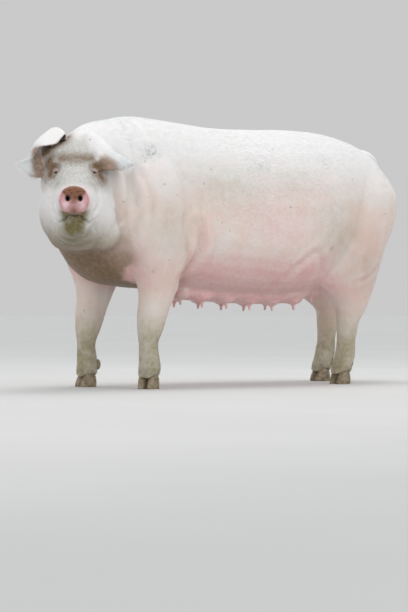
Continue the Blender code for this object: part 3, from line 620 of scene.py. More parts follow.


# Three masks in each of four colours: bare pink, with painted shade on the surfaces that face down; dirt,
# with painted shade on the breast, jowls and face; grey; snout, brown (stains, and painted shade under the
# ears and on the breast), inside of the ear; leg, face, ear's tip; painted shade in the nostrils and mouth, a
# painted highlight on the snout's lobes, stain.
def markings(points, normals, labels):
    x, y, z = (points - shift).T
    reach, left, height = headSizes(points).T
    aside, across, rise = np.abs(y), np.abs(left), height - disc["height"]
    name = np.array(fleshNodes)[labels]
    isLeg, isEar = (np.char.startswith(name, kind).astype(float) for kind in ("leg", "ear"))
    headOnly = (name == "head") * 1.0
    eyes = eyeRange(points)
    tipRange = np.minimum(*(np.linalg.norm(points - headPoint(*tip), axis=1)
                            for tip in head["earTips"].values()))
    offLegs = 1 - isLeg * soft(z, 0.47, 0.40)
    snout = soft(reach, disc["reach"] - 0.013, disc["reach"] - 0.006)
    snout *= soft(np.hypot(left / 0.052, rise / 0.050), 1.06, 0.98)

    # Bare pink skin where the surface faces down: real bare skin on the belly, darker there as painted shade
    # under her
    undersidePinkAndShade = soft(normals[:, 2], 0.05, -0.75) * (1 - isEar) * (1 - isLeg * soft(z, 0.36, 0.26))
    throat = soft(x, -0.30, -0.42) * soft(z, 0.60, 0.45) * soft(aside, 0.17, 0.10) * (reach < 0.05)
    pink = (1 - snout) * np.maximum.reduce([
        0.95 * undersidePinkAndShade * soft(z, 0.56, 0.40),
        (name == "udder") * 1.0,
        0.85 * throat * offLegs,
        ovals(x, z, flankPink, aside),
        0.80 * soft(x, 0.60, 0.68) * soft(aside, 0.06, 0.03) * soft(z, 0.70, 0.64),
        0.34 * soft(x, 0.26, 0.44) * soft(z, 0.66, 0.46) * soft(z, 0.22, 0.32),
        0.90 * soft(eyes, 0.024, 0.016),
        0.45 * soft(reach, 0.27, 0.33) * soft(np.abs(rise), 0.06, 0.04),
    ])
    inside = isEar * soft(normals @ unit(headForward * 0.35 - up * 0.8), -0.05, 0.35)
    inside *= soft(tipRange, 0.050, 0.095)
    rightFold = (name == "ear_right") * soft(left, -0.148, -0.128) * soft(height, 0.792, 0.780)
    inside = np.minimum(np.maximum(inside, rightFold) * 1.35, 1)
    inside = np.maximum(inside, (name == "ear_left") * ovals(left, height, earNotch))

    # Painted shade under the head and between the forelegs, together with brown dirt there
    breastDirtAndShade = 0.85 * soft(x, -0.20, -0.40) * soft(z, 0.64, 0.42) * soft(aside, 0.24, 0.08) * offLegs
    wide = 0.030 + 0.30 * (height - 0.540)
    chin = headOnly * soft(height, 0.594, 0.582) * soft(across - wide, 0.014, -0.006)
    chin *= soft(reach, 0.12, 0.22) * (0.25 + 0.75 * soft(height, 0.485, 0.535))
    # Olive dirt on the lower jowls, heavier where they face down: painted shade under the jowls
    jowlDirtAndShade = 0.72 * headOnly * soft(height, 0.580, 0.480) * soft(normals[:, 2], 0.55, -0.20)
    # Painted shade, grey-beige, on the forehead and the bridge of the nose
    faceShade = 0.70 * headOnly * soft(height, 0.645, 0.680) * soft(height, 0.880, 0.810)
    faceShade *= soft(across, 0.110, 0.060) * soft(reach, 0.0, 0.08)
    splashed = isLeg * (0.72 * soft(z, 0.30, 0.13) + 0.10) + 0.10 * soft(z, 0.56, 0.38) * (name == "torso")
    # Dirt on the legs, flanks and chin, together with painted shade on the breast, the jowls' undersides and
    # the face
    dirtAndShade = np.maximum.reduce([splashed, ovals(x, z, dullPatches, aside), breastDirtAndShade, chin, jowlDirtAndShade, faceShade])

    ahead = np.maximum(headOnly, isEar * soft(reach, -0.05, 0.0)) * soft(reach, -0.05, 0.01)
    # Painted shade, in brown, under her right ear
    underEarShade = hill(lineRange(ways(0.0, left, height), underEarShadeLine), 0.017) * headOnly * soft(reach, -0.12, -0.06)
    # Brown: the brow band, tear stains and round the eyes, together with brown painted shade under the ears
    # and on the breast
    brown = (1 - 0.70 * soft(eyes, 0.0175, 0.0155)) * np.maximum.reduce([
        0.84 * ahead * hill(height - 0.764, 0.018) * soft(across, 0.080, 0.050),
        # brown stain and painted shade under the ears, by the eyes
        ahead * ovals(left, height, eyeCornerBrownAndShade) * (1 - isEar * (1 - inside)),
        ahead * ovals(left, height, tears),
        (0.50 + 0.50 * soft(across, 0.050, 0.068)) * soft(eyes, 0.050, 0.026),
        underEarShade,
        breastDirtAndShade,
    ])
    dust = soft(rise - 1.1 * np.maximum(across - 0.014, 0), -0.006, 0.009)
    dust = np.maximum(dust, 0.90 * hill(left, 0.012) * soft(rise, -0.058, -0.022))
    brown = np.where(snout > 0.3, dust, brown)
    grey = np.maximum.reduce([hill(np.linalg.norm(points - shift - np.array(middle), axis=1), size)
                              for middle, size in greySpots])

    # Near-black painted shade inside the nostrils and along the mouth's line
    deepShade = soft(nostrilRange(left, rise), 1.45, 0.60) * (reach > disc["reach"] - 0.060) * (across < 0.05)
    # A dark painted line of shade along the mouth
    lips = 0.96 * hill(lineRange(points, onSkin(skinTree(points), mouthLine())), 0.0040)
    deepShade = np.maximum(deepShade, lips * soft(across, 0.064, 0.036) * (1 - snout))
    # Painted highlight: paler pink on the wet lobes under the nostrils
    lobeHighlights = snout * hill(np.hypot(across - 0.026, (rise + 0.012) * 0.8), 0.012)
    stain = headOnly * hill(np.hypot(left, height - 0.520), 0.060) * soft(reach, 0.05, 0.15)
    face = headOnly * soft(reach, 0.0, 0.12)
    tips = soft(tipRange, 0.11, 0.05) * isEar
    return [ways(pink, dirtAndShade, grey), ways(snout, brown, inside),
            ways(isLeg, face, tips), ways(deepShade, lobeHighlights, stain)]


markNames = ("marksA", "marksB", "marksC", "marksD")


# The skin's own unwrap, in islands of faces that look the same way.
def unwrap(skin):
    selectOnly(skin)
    bpy.ops.object.mode_set(mode="EDIT")
    bpy.ops.mesh.select_all(action="SELECT")
    bpy.ops.uv.smart_project(angle_limit=math.radians(72), island_margin=0.001, area_weight=0.0)
    bpy.ops.object.mode_set(mode="OBJECT")
    skin.data.uv_layers.active.name = "OFBake"


# Materials

def socket(group, name, way, kind="NodeSocketFloat", value=None):
    made = group.interface.new_socket(name=name, in_out=way, socket_type=kind)
    if value is not None:
        made.default_value = value
    return made


# Short names for adding and joining the nodes of one tree.
class Graph:
    def __init__(self, tree):
        self.tree = tree

    def add(self, kind, **settings):
        node = self.tree.nodes.new(kind)
        for key, value in settings.items():
            setattr(node, key, value)
        return node

    def link(self, source, target):
        self.tree.links.new(source, target)

    def put(self, target, value):
        if isinstance(value, bpy.types.NodeSocket):
            self.link(value, target)
        else:
            target.default_value = value

    def mix(self, share, a, b, blend="MIX"):
        node = self.add("ShaderNodeMix", data_type="RGBA", blend_type=blend)
        self.put(node.inputs[0], share)
        self.put(node.inputs[6], a)
        self.put(node.inputs[7], b)
        return node.outputs[2]

    def math(self, operation, a, b, clamp=False):
        node = self.add("ShaderNodeMath", operation=operation, use_clamp=clamp)
        self.put(node.inputs[0], a)
        self.put(node.inputs[1], b)
        return node.outputs[0]

    def times(self, a, b, clamp=False):
        return self.math("MULTIPLY", a, b, clamp)

    def plus(self, a, b, clamp=False):
        return self.math("ADD", a, b, clamp)

    def minus(self, a, b, clamp=False):
        return self.math("SUBTRACT", a, b, clamp)

    def noise(self, vector, scale, detail=3.0, rough=0.55):
        node = self.add("ShaderNodeTexNoise")
        self.link(vector, node.inputs["Vector"])
        node.inputs["Scale"].default_value = scale
        node.inputs["Detail"].default_value = detail
        node.inputs["Roughness"].default_value = rough
        return node.outputs["Fac"]

    def place(self, scale=(1, 1, 1), turn=0.0):
        coords = self.add("ShaderNodeTexCoord")
        mapping = self.add("ShaderNodeMapping")
        self.link(coords.outputs["Object"], mapping.inputs["Vector"])
        mapping.inputs["Rotation"].default_value = (0, 0, turn)
        mapping.inputs["Scale"].default_value = scale
        return mapping.outputs["Vector"]

    def ramp(self, value, low, high, fromLow=0.0, fromHigh=1.0):
        node = self.add("ShaderNodeMapRange", interpolation_type="SMOOTHSTEP")
        self.put(node.inputs["Value"], value)
        node.inputs["From Min"].default_value = low
        node.inputs["From Max"].default_value = high
        node.inputs["To Min"].default_value = fromLow
        node.inputs["To Max"].default_value = fromHigh
        return node.outputs["Result"]

    def marks(self, name):
        node = self.add("ShaderNodeAttribute", attribute_name=name)
        parts = self.add("ShaderNodeSeparateColor")
        self.link(node.outputs["Color"], parts.inputs["Color"])
        return parts.outputs


colours = {
    "hair": (0.765, 0.795, 0.805, 1),
    "hairWarm": (0.740, 0.630, 0.560, 1),
    "skin": (0.680, 0.470, 0.400, 1),
    "pink": (0.680, 0.285, 0.310, 1),
    "pinkPale": (0.740, 0.430, 0.430, 1),
    # Olive dirt, also the colour of the painted shade on the breast and jowls; its green tint is painted
    # green bounce light on the legs
    "dirtAndShade": (0.245, 0.238, 0.120, 1),
    # grey-beige of the painted shade on the forehead and nose
    "faceShadeGrey": (0.290, 0.290, 0.255, 1),
    "olive": (0.115, 0.090, 0.014, 1),
    "grey": (0.300, 0.325, 0.320, 1),
    "snout": (0.550, 0.225, 0.240, 1),
    "snoutPale": (0.630, 0.330, 0.345, 1),
    # painted highlight on the snout's wet lobes
    "lobe": (0.900, 0.680, 0.760, 1),
    "brown": (0.245, 0.100, 0.052, 1),
    "brownDark": (0.090, 0.032, 0.015, 1),
    # brown stains, also the colour of the painted shade under the ears and on the breast
    "brownSoft": (0.150, 0.090, 0.042, 1),
    "earInside": (0.290, 0.175, 0.115, 1),
    # whiter than the hair: white hair with painted light on the backlit ear tips
    "tip": (0.850, 0.875, 0.895, 1),
    # near-black painted shade in the nostrils and along the mouth
    "deepShade": (0.022, 0.012, 0.010, 1),
    "grain": (0.450, 0.380, 0.300, 1),
    "tuftDull": (0.930, 0.910, 0.880, 1),  # what the dullest and the brightest tufts are multiplied by
    "tuftBright": (1.0, 1.0, 1.0, 1),
}


# The sow's colours at any place, of the bare skin or of the hair over it.
def markingsGroup():
    group = bpy.data.node_groups.new("sowMarkings", "ShaderNodeTree")
    socket(group, "Hair", "INPUT", value=0.0)
    socket(group, "Colour", "OUTPUT", "NodeSocketColor")
    socket(group, "Bare", "OUTPUT")
    socket(group, "DirtAndShade", "OUTPUT")
    g = Graph(group)
    inputs = g.add("NodeGroupInput")
    outputs = g.add("NodeGroupOutput")
    pink, dirtAndShade, grey = g.marks("marksA")[:3]
    snout, brown, ear = g.marks("marksB")[:3]
    place = g.place()
    broad = g.noise(place, 3.2, 3.0, 0.6)
    blotch = g.noise(place, 14.0, 4.0, 0.62)
    fine = g.noise(place, 75.0, 4.0, 0.65)
    grain = g.noise(place, 420.0, 2.0, 0.5)
    uneven = g.plus(g.times(broad, 0.6), g.times(blotch, 0.4))
    parts = g.add("ShaderNodeSeparateXYZ")
    g.link(place, parts.inputs["Vector"])
    lowDown = g.ramp(parts.outputs["Z"], 0.82, 0.58)
    face, tips = g.marks("marksC")[1:3]
    body = g.minus(1.0, g.plus(g.times(face, 0.75), g.times(tips, 0.8)), True)
    lowDown = g.times(lowDown, g.ramp(parts.outputs["X"], -0.66, -0.48))
    warm = g.times(g.ramp(uneven, 0.38, 0.62, 0.45, 1.0), g.times(lowDown, body), True)
    hair = g.mix(warm, colours["hair"], colours["hairWarm"])
    bareSkin = g.mix(g.ramp(blotch, 0.35, 0.7), colours["skin"], colours["pinkPale"])
    cover = g.ramp(g.plus(inputs.outputs["Hair"], g.times(fine, 0.35)), 0.30, 1.05, 0.55, 1.0)
    base = g.mix(cover, bareSkin, hair)
    bare = g.times(pink, g.ramp(blotch, 0.25, 0.6, 0.72, 1.0), True)
    pinkTone = g.mix(g.ramp(fine, 0.3, 0.7), colours["pink"], colours["pinkPale"])
    bareShown = g.times(bare, g.minus(1.0, g.times(inputs.outputs["Hair"], 0.45)))
    base = g.mix(bareShown, base, pinkTone)
    # The ears' tips whiter: white hair, and painted light where they are backlit
    base = g.mix(tips, base, colours["tip"])
    base = g.mix(g.times(ear, g.ramp(fine, 0.2, 0.6, 0.70, 0.95)), base, colours["earInside"])
    speck = g.ramp(g.noise(place, 95.0, 3.0, 0.6), 0.50, 0.60)
    specks = g.plus(0.18, g.times(speck, 0.55))
    greyShown = g.times(g.ramp(grey, 0.10, 0.85), specks)
    base = g.mix(greyShown, base, colours["grey"])
    dots = g.ramp(g.noise(place, 38.0, 2.0, 0.5), 0.715, 0.745)
    clear = g.minus(0.55, g.times(face, 0.55), True)
    base = g.mix(g.times(dots, clear), base, colours["grey"])
    patchy = g.ramp(g.plus(g.times(blotch, 0.55), g.times(fine, 0.45)), 0.36, 0.66)
    streaks = g.ramp(g.noise(g.place((150, 150, 26)), 1.0, 3.0, 0.6), 0.34, 0.66)
    streaked = g.times(face, g.ramp(parts.outputs["Z"], 0.62, 0.68))
    patchy = g.mix(streaked, patchy, streaks)
    # Dirt, and the painted shade of the breast, jowls and face, shown in the dirt's colours
    dirtAndShadeShown = g.times(dirtAndShade, g.plus(0.62, g.times(patchy, 0.50)), True)
    # On the upper face this mask is painted shade, in grey-beige
    dirtAndShadeTone = g.mix(streaked, colours["dirtAndShade"], colours["faceShadeGrey"])
    dirtAndShadeTone = g.mix(g.ramp(dirtAndShade, 0.75, 1.0), dirtAndShadeTone, colours["olive"])
    base = g.mix(g.times(dirtAndShadeShown, 0.96), base, dirtAndShadeTone)
    snoutTone = g.mix(g.ramp(fine, 0.35, 0.65), colours["snout"], colours["snoutPale"])
    base = g.mix(snout, base, snoutTone)
    # Brown stains and dirt, together with brown painted shade under the ears and on the breast
    brownShown = g.times(brown, g.ramp(fine, 0.25, 0.60, 0.82, 1.15), True)
    cracks = g.ramp(g.noise(place, 130.0, 3.0, 0.7), 0.50, 0.60)
    discBrown = g.mix(g.times(cracks, 0.75), colours["brown"], colours["brownDark"])
    brownTone = g.mix(snout, colours["brownSoft"], discBrown)
    base = g.mix(brownShown, base, brownTone)
    base = g.mix(g.times(g.ramp(grain, 0.35, 0.7), 0.07), base, colours["grain"])
    deepShade, lobeHighlights, stain = g.marks("marksD")[:3]
    # Painted highlight on the snout's lobes
    base = g.mix(g.times(lobeHighlights, g.ramp(fine, 0.25, 0.55, 0.45, 0.95)), base, colours["lobe"])
    base = g.mix(g.times(stain, g.ramp(blotch, 0.3, 0.7, 0.60, 1.0)), base, colours["olive"])
    # Painted shade in the nostrils and along the mouth
    base = g.mix(deepShade, base, colours["deepShade"])
    g.link(base, outputs.inputs["Colour"])
    g.link(g.math("MAXIMUM", bare, snout), outputs.inputs["Bare"])
    g.link(dirtAndShadeShown, outputs.inputs["DirtAndShade"])
    return group


# Height of fine hair lines along the body, the legs and the head, and of the bare skin's pores.
def streaksGroup():
    group = bpy.data.node_groups.new("hairLines", "ShaderNodeTree")
    socket(group, "Height", "OUTPUT")
    g = Graph(group)
    outputs = g.add("NodeGroupOutput")
    leg, face = g.marks("marksC")[:2]
    snout = g.marks("marksB")[0]
    trunk = g.noise(g.place((60, 420, 300)), 1.0, 3.0, 0.6)
    down = g.noise(g.place((420, 420, 60)), 1.0, 3.0, 0.6)
    front = g.noise(g.place((60, 420, 330), math.radians(-head["turn"])), 1.0, 3.0, 0.6)
    lines = g.mix(leg, trunk, down)
    lines = g.mix(face, lines, front)
    pores = g.noise(g.place(), 700.0, 3.0, 0.6)
    cells = g.add("ShaderNodeTexVoronoi", feature="DISTANCE_TO_EDGE")
    g.link(g.place(), cells.inputs["Vector"])
    cells.inputs["Scale"].default_value = 520.0
    cracked = g.ramp(cells.outputs["Distance"], 0.0, 0.18)
    bareHeight = g.plus(g.times(pores, 0.65), g.times(cracked, 0.35))
    height = g.mix(snout, lines, bareHeight)
    g.link(height, outputs.inputs["Height"])
    return group


def newMaterial(name):
    material = bpy.data.materials.new(name)
    material.use_nodes = True
    g = Graph(material.node_tree)
    return material, g, material.node_tree.nodes["Principled BSDF"]


def skinMaterial(markGroup, lineGroup):
    material, g, shader = newMaterial("sowSkin")
    marks = g.add("ShaderNodeGroup", node_tree=markGroup)
    marks.inputs["Hair"].default_value = 0.54
    lines = g.add("ShaderNodeGroup", node_tree=lineGroup)
    g.link(marks.outputs["Colour"], shader.inputs["Base Color"])
    rough = g.minus(0.80, g.times(marks.outputs["Bare"], 0.24))
    snout, brown = g.marks("marksB")[:2]
    wet = g.times(snout, g.minus(0.28, g.times(brown, 0.50)))
    # Rougher in the painted shade of the nostrils and mouth
    rough = g.plus(g.minus(rough, wet), g.times(g.marks("marksD")[0], 0.5), True)
    g.link(rough, shader.inputs["Roughness"])
    bump = g.add("ShaderNodeBump")
    bump.inputs["Strength"].default_value = 0.75
    bump.inputs["Distance"].default_value = 0.0012
    g.link(lines.outputs["Height"], bump.inputs["Height"])
    g.link(bump.outputs["Normal"], shader.inputs["Normal"])
    shader.inputs["Sheen Weight"].default_value = 0.12
    shader.inputs["Sheen Roughness"].default_value = 0.5
    shader.inputs["Specular IOR Level"].default_value = 0.35
    return material


def coatMaterial(markGroup):
    material, g, shader = newMaterial("sowCoat")
    marks = g.add("ShaderNodeGroup", node_tree=markGroup)
    marks.inputs["Hair"].default_value = 1.0
    shade = g.add("ShaderNodeAttribute", attribute_name="tuftShade")
    tone = g.mix(shade.outputs["Fac"], colours["tuftDull"], colours["tuftBright"])
    base = g.mix(1.0, marks.outputs["Colour"], tone, "MULTIPLY")
    g.link(base, shader.inputs["Base Color"])
    # The coat is rougher where there is dirt or painted shade
    g.link(g.plus(0.50, g.times(marks.outputs["DirtAndShade"], 0.35)), shader.inputs["Roughness"])
    shader.inputs["Specular IOR Level"].default_value = 0.35
    return material


# Coat

coat = {
    "rings": 2,
    "stand": False,  # lies along the skin
    "perPiece": 49000,
    "spacing": 0.0034,
    "length": 0.0135,
    "width": 0.0012,
    "lift": 0.0011,
    "crown": 0.00022,  # how high the middle of a tuft stands over its edges
    "atTips": 0.1,  # how much longer at the ears' tips
    "onEars": 0.4,  # how much shorter on the ears
    "onLegs": 0,
    "seed": 11,
}
fringe = {
    **coat,
    "rings": 3,
    "stand": True,
    "perPiece": 19000,
    "spacing": 0.0026,
    "length": 0.0120,
    "width": 0.0008,
    "lift": 0.0024,
    "atTips": 0.9,
    "onEars": 0,
    "onLegs": 0.7,
    "seed": 12,
}
lashes = {
    **fringe,
    "spacing": 0.0011,
    "length": 0.0085,
    "width": 0.0007,
    "lift": 0.0055,
    "atTips": 0,
    "onLegs": 0,
    "seed": 13,
}
patchHalf = 0.0014  # half a tuft's own patch of the unwrap


# Where the tufts grow: spread over the skin by area and density, as shares of a triangle's corners.
def coatRoots(spacing, density, rng):
    corners, loops = trianglesOf(skin)
    a, b, c = (points[corners[:, k]] for k in range(3))
    area = np.linalg.norm(np.cross(b - a, c - a), axis=1) / 2
    expected = area * density[corners].mean(axis=1) / spacing ** 2
    count = np.floor(expected + rng.random(len(expected))).astype(int)
    owner = np.repeat(np.arange(len(count)), count)
    u, v = rng.random(len(owner)), rng.random(len(owner))
    turned = u + v > 1
    u[turned], v[turned] = 1 - u[turned], 1 - v[turned]
    return corners[owner], loops[owner], np.stack([1 - u - v, u, v], axis=1)


# More tufts on the face and legs, where they are short, fewer on bare skin, none in the eyes or snout.
def coatDensity():
    bare, snout, inside = marks[0][:, 0], marks[1][:, 0], marks[1][:, 2]
    leg, face = marks[2][:, :2].T
    density = (1 - 0.88 * bare) * (1 + 1.2 * face) * (1 + 0.5 * leg) * (1 - 0.70 * inside)
    lips = onSkin(skinTree(points), mouthLine())
    density *= soft(eyeRange(points), 0.0165, 0.0185) * soft(lineRange(points, lips), 0.006, 0.012)
    density *= soft(points[:, 2], 0.048, 0.056)
    reach = headSizes(points)[:, 0]
    return np.where((snout > 0.03) & (reach > disc["reach"] - 0.030), 0, density)


# Only where the coat breaks the outline: the ears' rims and tips, the crest, the tail's end, the hooves.
def fringeDensity():
    x, y, z = (points - shift).T
    leg, tips = marks[2][:, ::2].T
    crest = 0.5 * soft(z, 0.87, 0.90) * soft(x, -0.05, -0.35) * soft(np.abs(y), 0.10, 0.02)
    tailEnd = soft(x, 0.735, 0.750) * soft(z, 0.64, 0.57)
    overClaws = hill(points[:, 2] - 0.060, 0.010) * leg
    return np.clip(np.maximum.reduce([earRims(), 0.55 * tips, crest, tailEnd, overClaws]), 0, 1)


# A row along the edge of each upper lid.
def lashDensity():
    density = np.zeros(len(points))
    for side in eyeCentres:
        rise, azimuth, outside, near = slitAngles(side, points)
        onEdge = hill(outside - 5.0, 2.0) * (rise > 2) * (np.abs(azimuth) < lids["half"] + 4)
        density[near] = np.maximum(density[near], onEdge)
    return density


# How near each point of an ear is to its edge, from how fast the skin turns there.
def earRims():
    turn = 1 - (normals[edges[:, 0]] * normals[edges[:, 1]]).sum(axis=1)
    turned = np.bincount(edges.ravel(), weights=np.repeat(turn, 2), minlength=len(points))
    return soft(spread(turned[:, None], edges, 2)[:, 0], 0.9, 1.8) * isEar


# Joined meshes of closed tufts, each with its own patch of the unwrap.
def tuftMeshes(name, rows, shade, uv, markRoots, sizes, material):
    rings, perPiece = sizes["rings"], sizes["perPiece"]
    sides = 3
    size = sides * (rings - 1) + 1
    faces = [(0, 2, 1)]
    for r in range(rings - 2):
        for k in range(sides):
            n = (k + 1) % sides
            faces += [(r * 3 + k, r * 3 + n, r * 3 + 3 + n), (r * 3 + k, r * 3 + 3 + n, r * 3 + 3 + k)]
    last = (rings - 2) * 3
    faces += [(last + k, last + (k + 1) % sides, size - 1) for k in range(sides)]
    faces = np.array(faces)
    along = np.repeat(np.arange(rings), sides)[:size] / (rings - 1)
    across = np.tile([-1.0, 1.0, 0.0], rings)[:size] * (1 - along)
    patch = np.stack([across, along * 2 - 1], axis=1) * patchHalf
    pieces = []
    for start in range(0, len(rows), perPiece):
        part = slice(start, start + perPiece)
        number = len(rows[part])
        mesh = bpy.data.meshes.new(f"{name}_{len(pieces) + 1}")
        mesh.vertices.add(number * size)
        mesh.vertices.foreach_set("co", rows[part].astype(np.float32).ravel())
        mesh.loops.add(number * len(faces) * 3)
        mesh.polygons.add(number * len(faces))
        index = (np.arange(number)[:, None, None] * size + faces[None]).reshape(-1).astype(np.int32)
        mesh.loops.foreach_set("vertex_index", index)
        mesh.polygons.foreach_set("loop_start", np.arange(number * len(faces), dtype=np.int32) * 3)
        mesh.update(calc_edges=True)
        layer = mesh.uv_layers.new(name="OFBake")
        spots = np.clip(uv[part][:, None] + patch[None], 0.0005, 0.9995).reshape(-1, 2)
        layer.data.foreach_set("uv", spots[index].astype(np.float32).ravel())
        obj = addObject(mesh.name, mesh)
        for label, values in zip(markNames, markRoots):
            setAttribute(obj, label, np.repeat(values[part], size, axis=0))
        attribute = mesh.attributes.new("tuftShade", "FLOAT", "POINT")
        attribute.data.foreach_set("value", np.repeat(shade[part], size).astype(np.float32))
        mesh.materials.append(material)
        mesh.shade_flat()
        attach(obj, "root")
        pieces.append(obj)
    say(f"{name}: {len(rows)} tufts in {len(pieces)} pieces")


# Tufts that lie back along the coat, their roots in the skin and their tips a little off it.
def growTufts(name, sizes, density, material):
    rng = np.random.default_rng(sizes["seed"])
    rings = sizes["rings"]
    corners, loops, share = coatRoots(sizes["spacing"], density, rng)

    def at(values):
        return (values[corners] * share[..., None]).sum(axis=1)

    root, normal, way = at(points), unit(at(normals)), at(lie)
    uv = np.empty(len(skin.data.loops) * 2, np.float32)
    skin.data.uv_layers["OFBake"].data.foreach_get("uv", uv)
    uv = (uv.reshape(-1, 2)[loops] * share[..., None]).sum(axis=1)
    markRoots = [at(values) for values in marks]
    count = len(root)
    p = root * 9.0
    wave = np.stack([np.sin(p[:, 0] * 2.1 + 3 * np.sin(p[:, 2])), np.sin(p[:, 1] * 2.7 + p[:, 0]),
                     np.sin(p[:, 2] * 2.3 + 2 * np.sin(p[:, 1]))], axis=1) * 0.12
    way = way + rng.normal(0, 1, (count, 3)) * 0.13 + wave
    way = unit(way - normal * (way * normal).sum(axis=1)[:, None])
    side = np.cross(normal, way)
    leg, face, tips = markRoots[2].T
    z = root[:, 2]
    short = (1 - 0.55 * face) * (1 - 0.42 * leg) * (1 - 0.40 * soft(eyeRange(root), 0.05, 0.02))
    short *= 1 - 0.30 * soft(z, 0.16, 0.06)
    short *= (1 - sizes["onEars"] * at(isEar[:, None])[:, 0]) * (1 + sizes["onLegs"] * leg)
    length = sizes["length"] * short * (1 + sizes["atTips"] * tips) * rng.uniform(0.72, 1.22, count)
    width = sizes["width"] * (1 - 0.35 * face) * (1 - 0.2 * leg) * rng.uniform(0.75, 1.25, count)
    lift = sizes["lift"] * (1 - 0.3 * face) * rng.uniform(0.35, 1.25, count)
    tree = skinTree(points)
    rows = []
    for k in range(rings):
        t = k / (rings - 1)
        spot = root + way * (length * t)[:, None]
        outward = normal.copy()
        if k and not sizes["stand"]:
            for i in range(count):
                near, facingOut = tree.find_nearest(Vector(spot[i]), 0.02)[:2]
                if near is not None:
                    spot[i] = near
                    outward[i] = facingOut
        centre = spot + outward * (lift * t - 0.0003)[:, None]
        if k == rings - 1:
            rows.append(centre)
            continue
        half = side * (width * (1 - 0.25 * t) / 2)[:, None]
        rows += [centre - half, centre + half, centre + outward * coat["crown"]]
    rows = np.stack(rows, axis=1)
    rows = np.clip(rows, low + 2e-4, high - 2e-4)
    tuftMeshes(name, rows, rng.random(count), uv, markRoots, sizes, material)


# Eyes and claws

eyeColours = {
    "iris": (0.035, 0.018, 0.010, 1),
    "irisPale": (0.085, 0.050, 0.026, 1),
    "white": (0.620, 0.530, 0.470, 1),
    "whiteRed": (0.500, 0.300, 0.260, 1),
    "pupil": (0.004, 0.004, 0.005, 1),
}
hornColours = {
    "horn": (0.330, 0.265, 0.180, 1),
    "ring": (0.255, 0.195, 0.125, 1),
    "line": (0.480, 0.400, 0.290, 1),
    "mud": (0.115, 0.090, 0.048, 1),
}


def eyeMaterial():
    material, g, shader = newMaterial("eyeball")
    around = g.add("ShaderNodeAttribute", attribute_name="gaze").outputs["Fac"]
    threads = g.noise(g.place(), 900.0, 3.0, 0.6)
    iris = g.mix(g.ramp(threads, 0.3, 0.7), eyeColours["iris"], eyeColours["irisPale"])
    white = g.mix(g.ramp(threads, 0.45, 0.7), eyeColours["white"], eyeColours["whiteRed"])
    base = g.mix(g.ramp(around, 44, 50), iris, white)
    base = g.mix(g.ramp(around, 22, 19), base, eyeColours["pupil"])
    g.link(base, shader.inputs["Base Color"])
    g.link(g.ramp(around, 44, 52, 0.06, 0.16), shader.inputs["Roughness"])
    shader.inputs["Coat Weight"].default_value = 0.15
    shader.inputs["Specular IOR Level"].default_value = 0.2
    shader.inputs["Coat Roughness"].default_value = 0.02
    return material


# An eyeball with a low cornea, and how far each point is from the middle of its gaze.
def makeEye(side, material):
    forward, sideways = gazeOf(side)
    bpy.ops.mesh.primitive_uv_sphere_add(segments=48, ring_count=32, radius=1)
    eye = bpy.context.view_layer.objects.active
    eye.name = "eyeball_" + side
    local = pointsOf(eye)
    angle = np.degrees(np.arccos(np.clip(local[:, 2], -1, 1)))
    swell = 1 + 0.03 * soft(angle, 46, 20)
    radius = head["eyeRadius"] * 0.965
    made = (np.outer(local[:, 0], sideways) + np.outer(local[:, 1], up) + np.outer(local[:, 2], forward))
    setPoints(eye, eyeCentres[side] + made * (swell * radius)[:, None])
    eye.data.flip_normals()
    attribute = eye.data.attributes.new("gaze", "FLOAT", "POINT")
    attribute.data.foreach_set("value", angle.astype(np.float32))
    eye.data.materials.append(material)
    eye.data.shade_smooth()
    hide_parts("eye_" + side)
    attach(eye, "root")


def hoofMaterial():
    material, g, shader = newMaterial("clawHorn")
    place = g.place()
    rings = g.noise(g.place((30, 30, 420)), 1.0, 2.0, 0.5)
    lines = g.noise(g.place((520, 520, 40)), 1.0, 2.0, 0.5)
    stain = g.noise(place, 60.0, 4.0, 0.6)
    horn = g.mix(g.ramp(rings, 0.30, 0.70), hornColours["horn"], hornColours["ring"])
    horn = g.mix(g.ramp(lines, 0.45, 0.75, 0.0, 0.15), horn, hornColours["line"])
    horn = g.mix(g.ramp(stain, 0.38, 0.64, 0.10, 0.80), horn, hornColours["mud"])
    g.link(horn, shader.inputs["Base Color"])
    g.link(g.ramp(stain, 0.35, 0.65, 0.42, 0.85), shader.inputs["Roughness"])
    bump = g.add("ShaderNodeBump")
    bump.inputs["Strength"].default_value = 0.5
    bump.inputs["Distance"].default_value = 0.0008
    g.link(g.times(g.plus(rings, stain), 0.5), bump.inputs["Height"])
    g.link(bump.outputs["Normal"], shader.inputs["Normal"])
    return material


# A finer copy of a claw: rounded but for its sole, with faint rings of growth.
def makeClaw(name, material):
    bm = nodeCopy(name, 0)
    mesh = bpy.data.meshes.new(name + "_horn")
    bm.to_mesh(mesh)
    bm.free()
    obj = addObject(name + "_horn", mesh)
    low = np.array(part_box(name)[0])
    creases = mesh.attributes.new("crease_edge", "FLOAT", "EDGE")
    flat = pointsOf(obj)[:, 2] < low[2] + 1e-4
    edges = edgesOf(obj)
    onSole = flat[edges].all(axis=1) & name.startswith("hoof")
    creases.data.foreach_set("value", onSole.astype(np.float32))
    applyModifier(obj, "SUBSURF", levels=2, render_levels=2)
    points = pointsOf(obj)
    normals = normalsOf(obj)
    inwards = 0.0004 * (1 + np.sin(points[:, 2] * 1400 + 4 * np.sin(points[:, 0] * 90))) / 2
    inwards = np.where(points[:, 2] < low[2] + 0.002, 0, inwards)
    setPoints(obj, points - normals * inwards[:, None])
    obj.data.materials.clear()
    obj.data.materials.append(material)
    obj.data.shade_smooth()
    obj.data.set_sharp_from_angle(angle=math.radians(50))
    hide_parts(name)
    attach(obj, "root")


